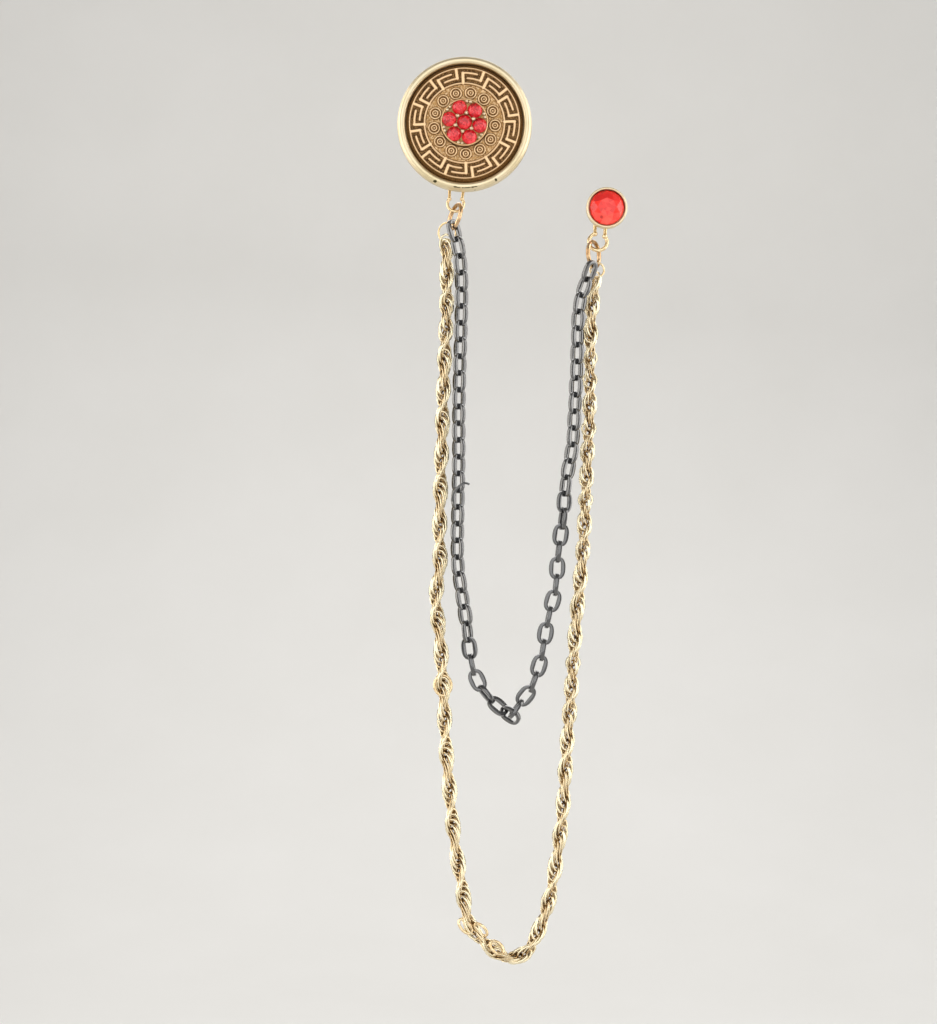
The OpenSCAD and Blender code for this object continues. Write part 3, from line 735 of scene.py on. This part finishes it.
# The backs: a round pad lies against the cloth behind each head, with a post through the
# cloth. A bent keyhole loop of wire is soldered to the pad and carries the chains.
PAD_BACK_EASE = 0.12
PAD_FRONT_EASE = 0.15
POST_R = 0.55
POST_LEN = 7.0
POST_TIP = 0.8
TIP_R = 0.15
POST_EASE_W = 0.05
POST_EASE_H = 0.1
LEG_H = 0.5
LOOP_LEAN = math.radians(15)
LOOP_STEPS = 40
LOOP_SIDES = 14
KNOB_SHARE = 1.4
KNOB_STEPS = 8
PAD_STEPS = 64


def new_tree(name, floats=(), others=()):
    """An empty Geometry Nodes tree with its named inputs."""
    tree = bpy.data.node_groups.new(name, "GeometryNodeTree")
    tree.interface.new_socket("Path", in_out="INPUT", socket_type="NodeSocketGeometry")
    for socket in floats:
        tree.interface.new_socket(socket, in_out="INPUT", socket_type="NodeSocketFloat")
    for socket, kind in others:
        tree.interface.new_socket(socket, in_out="INPUT", socket_type=kind)
    tree.interface.new_socket("Piece", in_out="OUTPUT", socket_type="NodeSocketGeometry")
    return tree, add_node(tree, "NodeGroupInput").outputs


# The tree sweeps a round wire along the path that it is given and closes both ends.
bent_wire, given = new_tree(
    "bent_wire", ("Wire Radius",), (("Sides", "NodeSocketInt"), ("Material", "NodeSocketMaterial")))
path = add_node(bent_wire, "GeometryNodeMeshToCurve", {"Mesh": given["Path"]})
section = add_node(bent_wire, "GeometryNodeCurvePrimitiveCircle",
                   {"Resolution": given["Sides"], "Radius": given["Wire Radius"]})
swept = add_node(bent_wire, "GeometryNodeCurveToMesh",
                 {"Curve": path.outputs[0], "Profile Curve": section.outputs["Curve"], "Fill Caps": True})
real = add_node(bent_wire, "GeometryNodeRealizeInstances", {"Geometry": swept.outputs[0]})
named = add_node(bent_wire, "GeometryNodeSetMaterial",
                 {"Geometry": real.outputs[0], "Material": given["Material"]})
add_node(bent_wire, "NodeGroupOutput", {"Piece": named.outputs[0]})


def grown(name, points, tree, values, marks=None):
    """Runs a Geometry Nodes tree along the points, in mm, and returns the plain mesh."""
    edges = [(i, i + 1) for i in range(len(points) - 1)]
    path_mesh = bpy.data.meshes.new(name + "_path")
    path_mesh.from_pydata([tuple(c * MM for c in p) for p in points], edges, [])
    for mark, numbers in (marks or {}).items():
        path_mesh.attributes.new(mark, "FLOAT", "POINT").data.foreach_set("value", numbers)
    path = put_in_scene(name + "_path", path_mesh)
    modifier = path.modifiers.new("grow", "NODES")
    modifier.node_group = tree
    for item in tree.interface.items_tree:
        if item.item_type == "SOCKET" and item.in_out == "INPUT" and item.name in values:
            modifier[item.identifier] = values[item.name]
    bpy.context.view_layer.update()
    mesh = bpy.data.meshes.new_from_object(path.evaluated_get(bpy.context.evaluated_depsgraph_get()))
    mesh.name = name
    bpy.data.objects.remove(path)
    bpy.data.meshes.remove(path_mesh)
    return mesh


def wire_mesh(name, points, wire, sides, material):
    """A round wire of this thickness, bent through the points."""
    sizes = {"Wire Radius": wire / 2 * MM, "Sides": sides, "Material": material}
    return grown(name, points, bent_wire, sizes)


def mesh_shape(mesh):
    """A mesh back as points in mm and faces, to be joined with other shapes."""
    return [tuple(c / MM for c in v.co) for v in mesh.vertices], [list(p.vertices) for p in mesh.polygons]


def ball(middle, size):
    """A drop of solder."""
    profile = [(0 if i in (0, KNOB_STEPS) else r, h - middle[1])
               for i, (r, h) in enumerate(arc((0, 0), size, -90, 90, KNOB_STEPS))]
    return turned(profile, (middle[0], middle[2]), 2 * KNOB_STEPS)


# Polished gold plate on brass wire: bright, warm and mirror-like, with the slight ripple
# that drawing and bending leave.
polished = rippled_finish("polished_gold_wire", ripple_mm=0.6, detail=3.0,
                          tones=((0.3, "#D2B384"), (0.7, "#EBD9B4")),
                          gloss=(0.12, 0.32), dents=(0.3, 0.03), Metallic=1.0)


def back_of_head(name, stands_for, middle, pad_r, wire, loop_d, loop_at, legs, bend, opening):
    """The pad, the post and the keyhole loop, whose points are counted from the head's middle."""
    def leaned(x, up):
        """A point of the loop's own plane, which leans to the viewer from the bend down."""
        height = LEG_H - up * math.sin(LOOP_LEAN)
        return (middle[0] + x, -height, middle[1] + bend + up * math.cos(LOOP_LEAN))

    loop_r = (loop_d - wire) / 2
    loop_arc = arc((loop_at[0], loop_at[1] - bend), loop_r, opening[0], 360 + opening[1], LOOP_STEPS)
    loop = [leaned(x, up) for x, up in loop_arc]
    feet = [((middle[0] + x, -LEG_H, middle[1] + z), (middle[0] + x, -LEG_H, middle[1] + bend))
            for x, z in legs]
    bent = wire_mesh(name + "_loop", [*feet[0], *loop, *feet[1][::-1]], wire, LOOP_SIDES, polished)
    profile = [
        (0, -POST_LEN - POST_TIP), (TIP_R, -POST_LEN - POST_TIP),
        (POST_R - POST_EASE_W, -POST_LEN), (POST_R, -POST_LEN + POST_EASE_H), (POST_R, 0),
        (pad_r - PAD_BACK_EASE, 0), (pad_r, PAD_BACK_EASE),
        (pad_r, PAD_T - PAD_FRONT_EASE), (pad_r - PAD_FRONT_EASE, PAD_T), (0, PAD_T),
    ]
    knobs = [ball(corner, KNOB_SHARE * wire / 2) for corner in (loop[0], loop[-1])]
    shape = joined(turned(profile, middle, PAD_STEPS), mesh_shape(bent), *knobs)
    finished_piece(name, shape, polished, [stands_for], sharp=40)


back_of_head("medallion_pad_and_loop", "medallion_back", (0, 0), pad_r=6, wire=0.65, loop_d=4.05,
             loop_at=(-1.85, -16.5), legs=((-3.1, -4.2), (-0.1, -4.4)), bend=-12.6, opening=(140, 38))
back_of_head("stud_pad_and_loop", "stud_back", STUD, pad_r=3, wire=0.8, loop_d=4.6,
             loop_at=(-1.7, -6.9), legs=((-2.25, -0.9), (-0.05, -1.8)), bend=-3.3, opening=(108, 40))


# The jump rings: thick wire of a redder gold, bent round and closed on a fine cut. One
# hangs in each loop. A thin ring of the rope's own wire hangs at each end of the rope.
JUMP_D = 6.2
JUMP_WIRE = 0.9
END_RING_WIRE = 0.44
RING_STEPS = 64
RING_SIDES = 16
RING_CUT = 1.2


def ring_points(at, turn_deg, size, wire, first=0.0):
    """Points of a ring that is turned about the vertical and then leaned to the right."""
    about_z, about_y = (math.radians(degrees) for degrees in turn_deg)
    spin = Matrix.Rotation(about_y, 3, "Y") @ Matrix.Rotation(about_z, 3, "Z")
    r = (size - wire) / 2
    points = []
    for i in range(RING_STEPS + 1):
        a = math.radians(first + RING_CUT / 2 + (360 - RING_CUT) * i / RING_STEPS)
        points.append(tuple(Vector(at) + spin @ Vector((r * math.cos(a), 0, r * math.sin(a)))))
    return points


# Red gold plate, polished: a warm copper tone that goes dark brown where it mirrors the
# jewel itself.
red_gold = rippled_finish("polished_red_gold", ripple_mm=1.2, detail=3.0,
                          tones=((0.35, "#AE8A62"), (0.65, "#DCBE98")), gloss=(0.1, 0.3), Metallic=1.0)

for name, at, turn_deg, size, wire, first, material, slot in (
    ("jump_ring_left", (-2, -3.1, -19.3), (-67, 17), JUMP_D, JUMP_WIRE, 200, red_gold, "rose_gold"),
    ("jump_ring_right", (26.8, -2.9, -27.1), (61, -3), JUMP_D, JUMP_WIRE, 120, red_gold, "rose_gold"),
    ("rope_ring_left", (-3.6, -1.6, -22.4), (-30, -11), 4.6, END_RING_WIRE, 30, polished, "yellow_gold"),
    ("rope_ring_right", (27.6, -2.1, -30.2), (13, 4), 3.4, END_RING_WIRE, 60, polished, "yellow_gold"),
):
    points = ring_points(at, turn_deg, size, wire, first)
    ring = wire_mesh(name + "_wire", points, wire, RING_SIDES, material)
    handed_over(name + "_wire", ring, material, [name], sharp=50)


# The gold rope: a few hundred small oval rings of brass wire, each laid against the one
# before and turned on from it, so the chain winds like a cord and shows bulges and necks.
ROPE_ROUTE = (
    (-3.7, -1.7, -24.9), (-3.7, -1.7, -30), (-3.7, -1.7, -37), (-4, -1.7, -45.1),
    (-4.4, -1.7, -55.1), (-4.7, -1.7, -65.2), (-5, -1.7, -75.2), (-5.2, -1.7, -85.3),
    (-5.1, -1.7, -91.4), (-5.9, -1.7, -97.4), (-5.7, -1.7, -101.4), (-5.2, -1.7, -106.4),
    (-4.7, -1.7, -112.5), (-4.3, -1.7, -120.5), (-3.8, -1.7, -130.6), (-2.9, -1.7, -140.7),
    (-2, -1.7, -149.7), (-0.6, -1.7, -157.8), (0.2, -1.7, -163.3), (1.6, -1.7, -167.3),
    (3.6, -1.8, -169.5), (5.8, -1.8, -171.6), (8.2, -1.8, -173.1), (10.8, -1.8, -173.2),
    (13, -1.8, -171.9), (14.6, -1.8, -169.3), (15.8, -1.7, -166.8), (17.5, -1.7, -161.8),
    (19.5, -1.7, -150.7), (20.6, -1.7, -140.7), (21.2, -1.7, -130.6), (22, -1.7, -120.5),
    (22.7, -1.7, -110.5), (23.5, -1.7, -100.4), (24.5, -1.7, -90.3), (25.1, -1.7, -80.3),
    (25.5, -1.7, -70.2), (26, -1.7, -60.2), (26.1, -1.7, -50.1), (26.4, -1.6, -40),
    (27.2, -1.6, -32),
)
# Where the necks lie along the route, in mm from its start.
ROPE_NECKS = (
    -3.0, 3.0, 9.7, 15.0, 20.6, 27.2, 33.5, 40.2, 47.6, 54.7, 61.8, 68.7, 75.1, 81.8, 89.1, 95.0, 102.6,
    110.0, 117.6, 125.0, 132.9, 139.8, 146.6, 152.6, 159.0, 165.3, 172.1, 179.2, 185.9, 192.6, 199.3,
    205.3, 210.7, 216.2, 220.7, 227.1, 233.3, 239.4, 244.6, 250.3, 254.7, 260.1, 265.1, 269.6, 275.1,
    279.8, 284.2, 290.4, 296.1, 302.0,
)
ROUTE_STEPS = 6
ROPE_WIRE = 0.52
ROPE_RING_LENGTH = 4.5
ROPE_RING_WIDTH = 3.3
ROPE_RING_SIDES = 12
ROPE_WIRE_SIDES = 5
TWIN_GAP = 1.05
TWIN_SPLAY = 0.07
ROPE_SQUEEZE = 0.4
ROPE_LEAN = math.radians(4)
ROPE_TILT = math.radians(9)
ROPE_JITTER = math.radians(12)
ROPE_SEED = 7
RING_STEP = 1.05
LONG_BULGE = 6.3
SHORTEST = 0.68


def smooth_route(route):
    """A smooth curve through the route's points."""
    given = [np.array(p, float) for p in route]
    last = len(given) - 1
    points = []
    for i in range(last):
        a, b, c, d = given[max(i - 1, 0)], given[i], given[i + 1], given[min(i + 2, last)]
        for k in range(ROUTE_STEPS):
            t = k / ROUTE_STEPS
            points.append(0.5 * (2 * b + (c - a) * t + (2 * a - 5 * b + 4 * c - d) * t ** 2
                                 + (3 * b - a - 3 * c + d) * t ** 3))
    return points + [given[last]]


# The tree lays a pair of rings at each point: wound on by the point's half turns, shaken
# a little, leaned along the rope, and squeezed where the pair shows its edge.
tree, given = new_tree(
    "rope_of_rings",
    ("Ring Length", "Ring Width", "Wire Radius", "Squeeze", "Lean", "Tilt", "Jitter"),
    (("Seed", "NodeSocketInt"), ("Material", "NodeSocketMaterial")))
path = add_node(tree, "GeometryNodeMeshToCurve", {"Mesh": given["Path"]})
oval = add_node(tree, "GeometryNodeCurvePrimitiveCircle", {"Resolution": ROPE_RING_SIDES, "Radius": 0.5})
size = add_node(tree, "ShaderNodeCombineXYZ", {"X": given["Ring Length"], "Y": given["Ring Width"], "Z": 1.0})
stretched = add_node(tree, "GeometryNodeTransform",
                     {"Geometry": oval.outputs["Curve"], "Scale": size.outputs[0]})
section = add_node(tree, "GeometryNodeCurvePrimitiveCircle",
                   {"Resolution": ROPE_WIRE_SIDES, "Radius": given["Wire Radius"]})
ring = add_node(tree, "GeometryNodeCurveToMesh",
                {"Curve": stretched.outputs[0], "Profile Curve": section.outputs["Curve"]})
pair = add_node(tree, "GeometryNodeJoinGeometry")
for side in (-TWIN_GAP, TWIN_GAP):
    aside = add_node(tree, "ShaderNodeMath", {0: given["Wire Radius"], 1: side}, operation="MULTIPLY")
    shift = add_node(tree, "ShaderNodeCombineXYZ", {"Z": aside.outputs[0]})
    beside = add_node(tree, "GeometryNodeTransform", {
        "Geometry": ring.outputs[0], "Translation": shift.outputs[0],
        "Rotation": (0.0, TWIN_SPLAY * side, 0.0)})
    tree.links.new(beside.outputs[0], pair.inputs[0])
wound = add_node(tree, "GeometryNodeInputNamedAttribute", {"Name": "wound"}, data_type="FLOAT")
chance = add_node(tree, "FunctionNodeRandomValue", {"Seed": given["Seed"]}, data_type="FLOAT")
off = add_node(tree, "ShaderNodeMath", {0: chance.outputs[1], 1: 0.5}, operation="SUBTRACT")
shaken = add_node(tree, "ShaderNodeMath",
                  {0: off.outputs[0], 1: given["Jitter"], 2: wound.outputs[0]}, operation="MULTIPLY_ADD")
way = add_node(tree, "GeometryNodeInputTangent")
laid = add_node(tree, "FunctionNodeAxesToRotation",
                {"Primary Axis": way.outputs[0], "Secondary Axis": (0.0, 1.0, 0.0)},
                primary_axis="X", secondary_axis="Y")
for axis, amount in (((1.0, 0.0, 0.0), shaken.outputs[0]), ((0.0, 0.0, 1.0), given["Lean"]),
                     ((0.0, 1.0, 0.0), given["Tilt"])):
    step = add_node(tree, "FunctionNodeAxisAngleToRotation", {"Axis": axis, "Angle": amount})
    laid = add_node(tree, "FunctionNodeRotateRotation",
                    {"Rotation": laid.outputs[0], "Rotate By": step.outputs[0]}, rotation_space="LOCAL")
facing = add_node(tree, "ShaderNodeMath", {0: wound.outputs[0]}, operation="SINE")
facing = add_node(tree, "ShaderNodeMath", {0: facing.outputs[0], 1: 2.0}, operation="POWER")
pressed = add_node(tree, "ShaderNodeMath", {0: 1.0, 1: given["Squeeze"]}, operation="SUBTRACT")
across = add_node(tree, "ShaderNodeMath",
                  {0: facing.outputs[0], 1: given["Squeeze"], 2: pressed.outputs[0]},
                  operation="MULTIPLY_ADD")
long = add_node(tree, "GeometryNodeInputNamedAttribute", {"Name": "long"}, data_type="FLOAT")
girth = add_node(tree, "ShaderNodeCombineXYZ",
                 {"X": long.outputs[0], "Y": across.outputs[0], "Z": across.outputs[0]})
placed = add_node(tree, "GeometryNodeInstanceOnPoints",
                  {"Points": path.outputs[0], "Instance": pair.outputs[0], "Rotation": laid.outputs[0],
                   "Scale": girth.outputs[0]})
real = add_node(tree, "GeometryNodeRealizeInstances", {"Geometry": placed.outputs[0]})
# How far each point lies out from the rope's core: the rope's material paints shade from it.
core = add_node(tree, "GeometryNodeProximity", {0: given["Path"]}, target_element="EDGES")
outer = add_node(tree, "ShaderNodeMath", {0: given["Ring Width"], 1: 0.5}, operation="MULTIPLY")
depth = add_node(tree, "ShaderNodeMath",
                 {0: core.outputs["Distance"], 1: outer.outputs[0]}, operation="DIVIDE")
marked = add_node(tree, "GeometryNodeStoreNamedAttribute",
                  {"Geometry": real.outputs[0], "Name": "out", "Value": depth.outputs[0]},
                  data_type="FLOAT", domain="POINT")
named = add_node(tree, "GeometryNodeSetMaterial",
                 {"Geometry": marked.outputs[0], "Material": given["Material"]})
add_node(tree, "NodeGroupOutput", {"Piece": named.outputs[0]})
rope_tree = tree

# Gold plated rope wire with painted shade: wires near the rope's core are painted dark brown,
# and those at its outside keep a pale gold, with a faint ripple of tone.
ROPE_RIPPLE_MM = 0.8
rope_gold, tree, shader = new_finish("gold_rope_painted_depth_shade", Metallic=1.0)
place = add_node(tree, "ShaderNodeTexCoord")
ripple = add_node(tree, "ShaderNodeTexNoise",
                  {"Vector": place.outputs["Object"], "Scale": 1000 / ROPE_RIPPLE_MM, "Detail": 3.0})
# Painted shade: the tone key falls to dark brown on the wires deep in the rope.
out = add_node(tree, "ShaderNodeAttribute", attribute_name="out")
tone_key = add_node(tree, "ShaderNodeMath",
                {0: ripple.outputs["Fac"], 1: 0.25, 2: out.outputs["Fac"]}, operation="MULTIPLY_ADD")
tone = add_node(tree, "ShaderNodeValToRGB", {"Fac": tone_key.outputs[0]},
                ((0.3, "#3A2410"), (0.6, "#BE9E6C"), (1.0, "#E9DDBE")))
tree.links.new(tone.outputs["Color"], shader.inputs["Base Color"])
gloss = add_node(tree, "ShaderNodeMapRange", {"Value": ripple.outputs["Fac"], "To Min": 0.15, "To Max": 0.35})
tree.links.new(gloss.outputs[0], shader.inputs["Roughness"])

# A bulge lies between two necks and takes half a turn. Its rings are as many as fit at
# the ring step, and a short bulge has shorter rings.
rope_path = smooth_route(ROPE_ROUTE)
reached = [0.0]
for a, b in zip(rope_path, rope_path[1:]):
    reached.append(reached[-1] + float(np.linalg.norm(b - a)))
half_turns = np.interp(reached, ROPE_NECKS, np.arange(len(ROPE_NECKS)))
bulges = np.diff(ROPE_NECKS)
ring_turns = np.concatenate([k + np.arange(n) / n for k, n in enumerate(np.round(bulges / RING_STEP))])
ring_turns = ring_turns[(ring_turns >= half_turns[0]) & (ring_turns < half_turns[-1])]
bulge_at_ring = np.interp(ring_turns, np.arange(len(bulges)) + 0.5, bulges)
ring_places = np.stack(
    [np.interp(ring_turns, half_turns, [p[axis] for p in rope_path]) for axis in range(3)], axis=-1)
rope_sizes = {
    "Ring Length": ROPE_RING_LENGTH * MM, "Ring Width": (ROPE_RING_WIDTH - ROPE_WIRE) * MM,
    "Wire Radius": ROPE_WIRE / 2 * MM, "Squeeze": ROPE_SQUEEZE, "Lean": ROPE_LEAN, "Tilt": ROPE_TILT,
    "Jitter": ROPE_JITTER, "Seed": ROPE_SEED, "Material": rope_gold,
}
rope_marks = {"wound": ring_turns * math.pi, "long": np.clip(bulge_at_ring / LONG_BULGE, SHORTEST, 1)}
rope_mesh = grown("rope_wire", ring_places, rope_tree, rope_sizes, rope_marks)
handed_over("gold_rope_wire", rope_mesh, rope_gold,
            [f"gold_rope_{k}" for k in range(1, 11)], sharp=180)

# Four rings have worked loose and stand out of the rope: middle, turn and lean, width and
# length of each.
LOOSE_WIRE = 0.62
LOOSE_SIDES = 10
LOOSE_CUT_TURN = 40
LOOSE_RINGS = (
    ((-4.5, -2.2, -116.6), (8, -6), 4.1, 4.8), ((0.2, -2.3, -166.7), (8, -42), 2.3, 4.2),
    ((3.4, -2.6, -167.3), (-14, -45), 2.0, 3.9), ((6.7, -2.8, -171.0), (12, -48), 2.3, 4.0),
)
loose_shapes = []
for k, (at, turn_deg, width, length) in enumerate(LOOSE_RINGS):
    round_ring = ring_points(at, (turn_deg[0], 0), length, LOOSE_WIRE, LOOSE_CUT_TURN * k)
    oval_ring = [((x - at[0]) * width / length + at[0], y, z) for x, y, z in round_ring]
    lean_over = Matrix.Rotation(math.radians(turn_deg[1]), 3, "Y")
    loose = [tuple(Vector(at) + lean_over @ (Vector(p) - Vector(at))) for p in oval_ring]
    loose_mesh = wire_mesh("loose_ring", loose, LOOSE_WIRE, LOOSE_SIDES, polished)
    loose_shapes.append(mesh_shape(loose_mesh))
finished_piece("loose_rope_rings", joined(*loose_shapes), polished, sharp=50)


# The black chain: flat oval links pressed from steel and coated in a glossy black
# lacquer. Each stands a quarter turn from the next, and one link at the bottom hangs turned.
BLACK_LEFT_ROUTE = (
    (-2.6, -4.2, -20.7), (-1.7, -3.9, -24), (-0.9, -3.2, -28), (-0.6, -2.7, -33),
    (-0.7, -2.6, -40.1), (-1, -2.6, -50.1), (-1.2, -2.6, -60.2), (-1.2, -2.6, -70.2),
    (-1.4, -2.6, -80.3), (-1.5, -2.6, -90.3), (-0.9, -2.6, -95.4), (-0.1, -2.6, -100.4),
    (0.6, -2.6, -105.4), (1.2, -2.6, -110.5), (2, -2.6, -114.1), (3.4, -2.6, -117.1),
    (5.5, -2.6, -119.7), (8.28, -2.76, -122.02),
)
BLACK_RIGHT_ROUTE = (
    (9.68, -4.14, -122.69), (11.7, -3.1, -119.9), (13.8, -3.2, -117.3), (15, -3.4, -113.9),
    (16, -3.4, -110.5), (16.8, -3.4, -105.4), (17.7, -3.4, -101), (18.6, -3.4, -98.1),
    (19.1, -3.4, -94.4), (19.3, -3.4, -90.3), (19.8, -3.4, -86.3), (20.6, -3.4, -80.3),
    (20.9, -3.4, -75.3), (21.6, -3.4, -71.2), (22.4, -3.4, -67.2), (22.8, -3.4, -60.2),
    (23.3, -3.4, -50.1), (23.6, -3.4, -40.1), (24.2, -3.8, -35.7), (25.3, -4.4, -32.5),
    (26.4, -5.5, -29.3),
)
LINK_PITCH = 3.5
LINK_W = 3.45
LINK_END = 0.73
LINK_SIDE = 0.95
LINK_T = 0.8
LINK_OVERLAP = 0.06
LINK_BULGE = 2.4
LINK_STEPS = 28
BAND_CORNERS = ((1, 0.5), (0.88, 0.86), (0.62, 1), (-0.62, 1), (-0.88, 0.86), (-1, 0.5),
                (-1, -0.5), (-0.88, -0.86), (-0.62, -1), (0.62, -1), (0.88, -0.86), (1, -0.5))
# How each arm rolls: its first and last angle, and the shares of its length between which it turns.
LEFT_ROLLS = (45, -49.5, 0.72, 1.05)
RIGHT_ROLLS = (5, 45, 0.32, 0.6)


def oval_point(length, width, way):
    """The point of an oval with straight sides and round ends that lies this way from its middle."""
    straight = (length - width) / 2
    r = width / 2
    x, y = way
    if abs(y) > 1e-9 and abs(x / y) * r <= straight:
        return (x / abs(y) * r, math.copysign(r, y))
    side = math.copysign(1, x)
    b = side * straight * x
    reach = b + math.sqrt(b * b - straight * straight + r * r)
    return (reach * x, reach * y)


def link_shape(pitch):
    """One oval link, its length along X: a flat band at the sides and a rounder wire at the ends."""
    opening = pitch - LINK_OVERLAP
    inner_w = LINK_W - 2 * LINK_SIDE
    verts, faces = [], []
    for i in range(LINK_STEPS):
        a = math.tau * i / LINK_STEPS
        x, y = math.cos(a), math.sin(a)
        inner = oval_point(opening, inner_w, (x, y))
        bulge = abs(x / (opening / 2 + LINK_END)) ** LINK_BULGE + abs(y / (LINK_W / 2)) ** LINK_BULGE
        reach = bulge ** (-1 / LINK_BULGE)
        middle = ((inner[0] + x * reach) / 2, (inner[1] + y * reach) / 2)
        half = ((x * reach - inner[0]) / 2, (y * reach - inner[1]) / 2)
        for across, up in BAND_CORNERS:
            verts.append((middle[0] + half[0] * across, middle[1] + half[1] * across, LINK_T / 2 * up))
    n = len(BAND_CORNERS)
    for i in range(LINK_STEPS):
        for k in range(n):
            j, m = (i + 1) % LINK_STEPS, (k + 1) % n
            faces.append([i * n + k, j * n + k, j * n + m, i * n + m])
    return verts, faces


# The tree lays one link from each joint of the run to the next, every one a quarter turn
# on, while the whole run rolls from its first angle to its last.
tree, given = new_tree(
    "cable_of_links", ("First Roll", "Last Roll", "Roll From", "Roll To"),
    (("Links", "NodeSocketInt"), ("Link", "NodeSocketObject"), ("Material", "NodeSocketMaterial")))
path = add_node(tree, "GeometryNodeMeshToCurve", {"Mesh": given["Path"]})
ends = add_node(tree, "ShaderNodeMath", {0: given["Links"], 1: 1.0}, operation="ADD")
joints = add_node(tree, "GeometryNodeResampleCurve",
                  {"Curve": path.outputs[0], "Count": ends.outputs[0]}, mode="COUNT")
place = add_node(tree, "GeometryNodeInputPosition")
number = add_node(tree, "GeometryNodeInputIndex")
following = add_node(tree, "ShaderNodeMath", {0: number.outputs[0], 1: 1.0}, operation="ADD")
onward = add_node(tree, "GeometryNodeFieldAtIndex",
                  {"Index": following.outputs[0], "Value": place.outputs[0]},
                  data_type="FLOAT_VECTOR", domain="POINT")
way = add_node(tree, "ShaderNodeVectorMath",
               {0: onward.outputs[0], 1: place.outputs[0]}, operation="SUBTRACT")
along = add_node(tree, "ShaderNodeMath", {0: number.outputs[0], 1: given["Links"]}, operation="DIVIDE")
rolled = add_node(tree, "ShaderNodeMapRange", {
    "Value": along.outputs[0], "From Min": given["Roll From"], "From Max": given["Roll To"],
    "To Min": given["First Roll"], "To Max": given["Last Roll"]}, interpolation_type="SMOOTHSTEP")
quarter = add_node(tree, "ShaderNodeMath",
                   {0: number.outputs[0], 1: math.pi / 2, 2: rolled.outputs[0]}, operation="MULTIPLY_ADD")
laid = add_node(tree, "FunctionNodeAxesToRotation",
                {"Primary Axis": way.outputs[0], "Secondary Axis": (0.0, 1.0, 0.0)},
                primary_axis="X", secondary_axis="Y")
step = add_node(tree, "FunctionNodeAxisAngleToRotation",
                {"Axis": (1.0, 0.0, 0.0), "Angle": quarter.outputs[0]})
laid = add_node(tree, "FunctionNodeRotateRotation",
                {"Rotation": laid.outputs[0], "Rotate By": step.outputs[0]}, rotation_space="LOCAL")
is_link = add_node(tree, "FunctionNodeCompare",
                   {0: number.outputs[0], 1: given["Links"]}, data_type="FLOAT", operation="LESS_THAN")
pattern = add_node(tree, "GeometryNodeObjectInfo", {"Object": given["Link"]})
placed = add_node(tree, "GeometryNodeInstanceOnPoints",
                  {"Points": joints.outputs[0], "Selection": is_link.outputs[0],
                   "Instance": pattern.outputs["Geometry"], "Rotation": laid.outputs[0]})
real = add_node(tree, "GeometryNodeRealizeInstances", {"Geometry": placed.outputs[0]})
named = add_node(tree, "GeometryNodeSetMaterial",
                 {"Geometry": real.outputs[0], "Material": given["Material"]})
add_node(tree, "NodeGroupOutput", {"Piece": named.outputs[0]})
cable_tree = tree

# Black lacquer over pressed steel: near black, with clear grey streaks along each curved
# band where it mirrors the soft boxes, and a faint orange peel.
lacquer = rippled_finish("black_lacquer", ripple_mm=0.9, detail=4.0,
                         tones=((0.35, "#08080A"), (0.7, "#17171A")), gloss=(0.12, 0.3), dents=(0.15, 0.02),
                         Coat_Weight=1.0, Coat_Roughness=0.1, Coat_IOR=1.8)

for side, route, rolls, first_node in (
    ("left", BLACK_LEFT_ROUTE, LEFT_ROLLS, 1), ("right", BLACK_RIGHT_ROUTE, RIGHT_ROLLS, 5),
):
    line = smooth_route(route)
    length = sum(float(np.linalg.norm(b - a)) for a, b in zip(line, line[1:]))
    count = 2 * round(length / LINK_PITCH / 2)
    pitch = length / count
    verts, faces = link_shape(pitch)
    pattern_mesh = solid_mesh("link_pattern", ([(x + pitch / 2, y, z) for x, y, z in verts], faces))
    pattern_link = put_in_scene("link_pattern", pattern_mesh)
    chain_mesh = grown(f"black_chain_{side}", line, cable_tree, {
        "Links": count, "Link": pattern_link, "First Roll": math.radians(rolls[0]),
        "Last Roll": math.radians(rolls[1]), "Roll From": rolls[2], "Roll To": rolls[3], "Material": lacquer})
    bpy.data.objects.remove(pattern_link)
    handed_over(f"black_chain_{side}", chain_mesh, lacquer,
                [f"black_chain_{k}" for k in range(first_node, first_node + 4)], sharp=40)

# The link at the bottom joins the two arms and has swung round between them.
BOTTOM_LINK_AT = Vector((9.45, -3.1, -122.7))
BOTTOM_LINK_WAY = Vector((0.8, -0.35, -0.48))
BOTTOM_LINK_ROLL = math.radians(-62)
x_way = BOTTOM_LINK_WAY.normalized()
y_way = (Vector((0, 1, 0)) - x_way.y * x_way).normalized()
laid_way = Matrix((x_way, y_way, x_way.cross(y_way))).transposed()
turned_link = laid_way @ Matrix.Rotation(BOTTOM_LINK_ROLL, 3, "X")
verts, faces = link_shape(LINK_PITCH)
finished_piece("bottom_link", ([tuple(BOTTOM_LINK_AT + turned_link @ Vector(v)) for v in verts], faces),
               lacquer, ["black_bottom_link"], sharp=40)

# One link of the left arm has sprung open, and its thin end stands out in front.
SPRUNG_WIRE = 0.5
SPRUNG_SIDES = 10
SPRUNG_END = ((-2.6, -3.8, -78.3), (-2.45, -4.3, -77.2), (-1.95, -4.5, -76.2), (-1.3, -4.6, -75.4),
              (-0.5, -4.6, -74.85), (0.2, -4.4, -74.6), (0.95, -4.0, -74.8))
sprung_mesh = wire_mesh("sprung_link_end", smooth_route(SPRUNG_END), SPRUNG_WIRE, SPRUNG_SIDES, lacquer)
handed_over("sprung_link_end", sprung_mesh, lacquer, sharp=50)
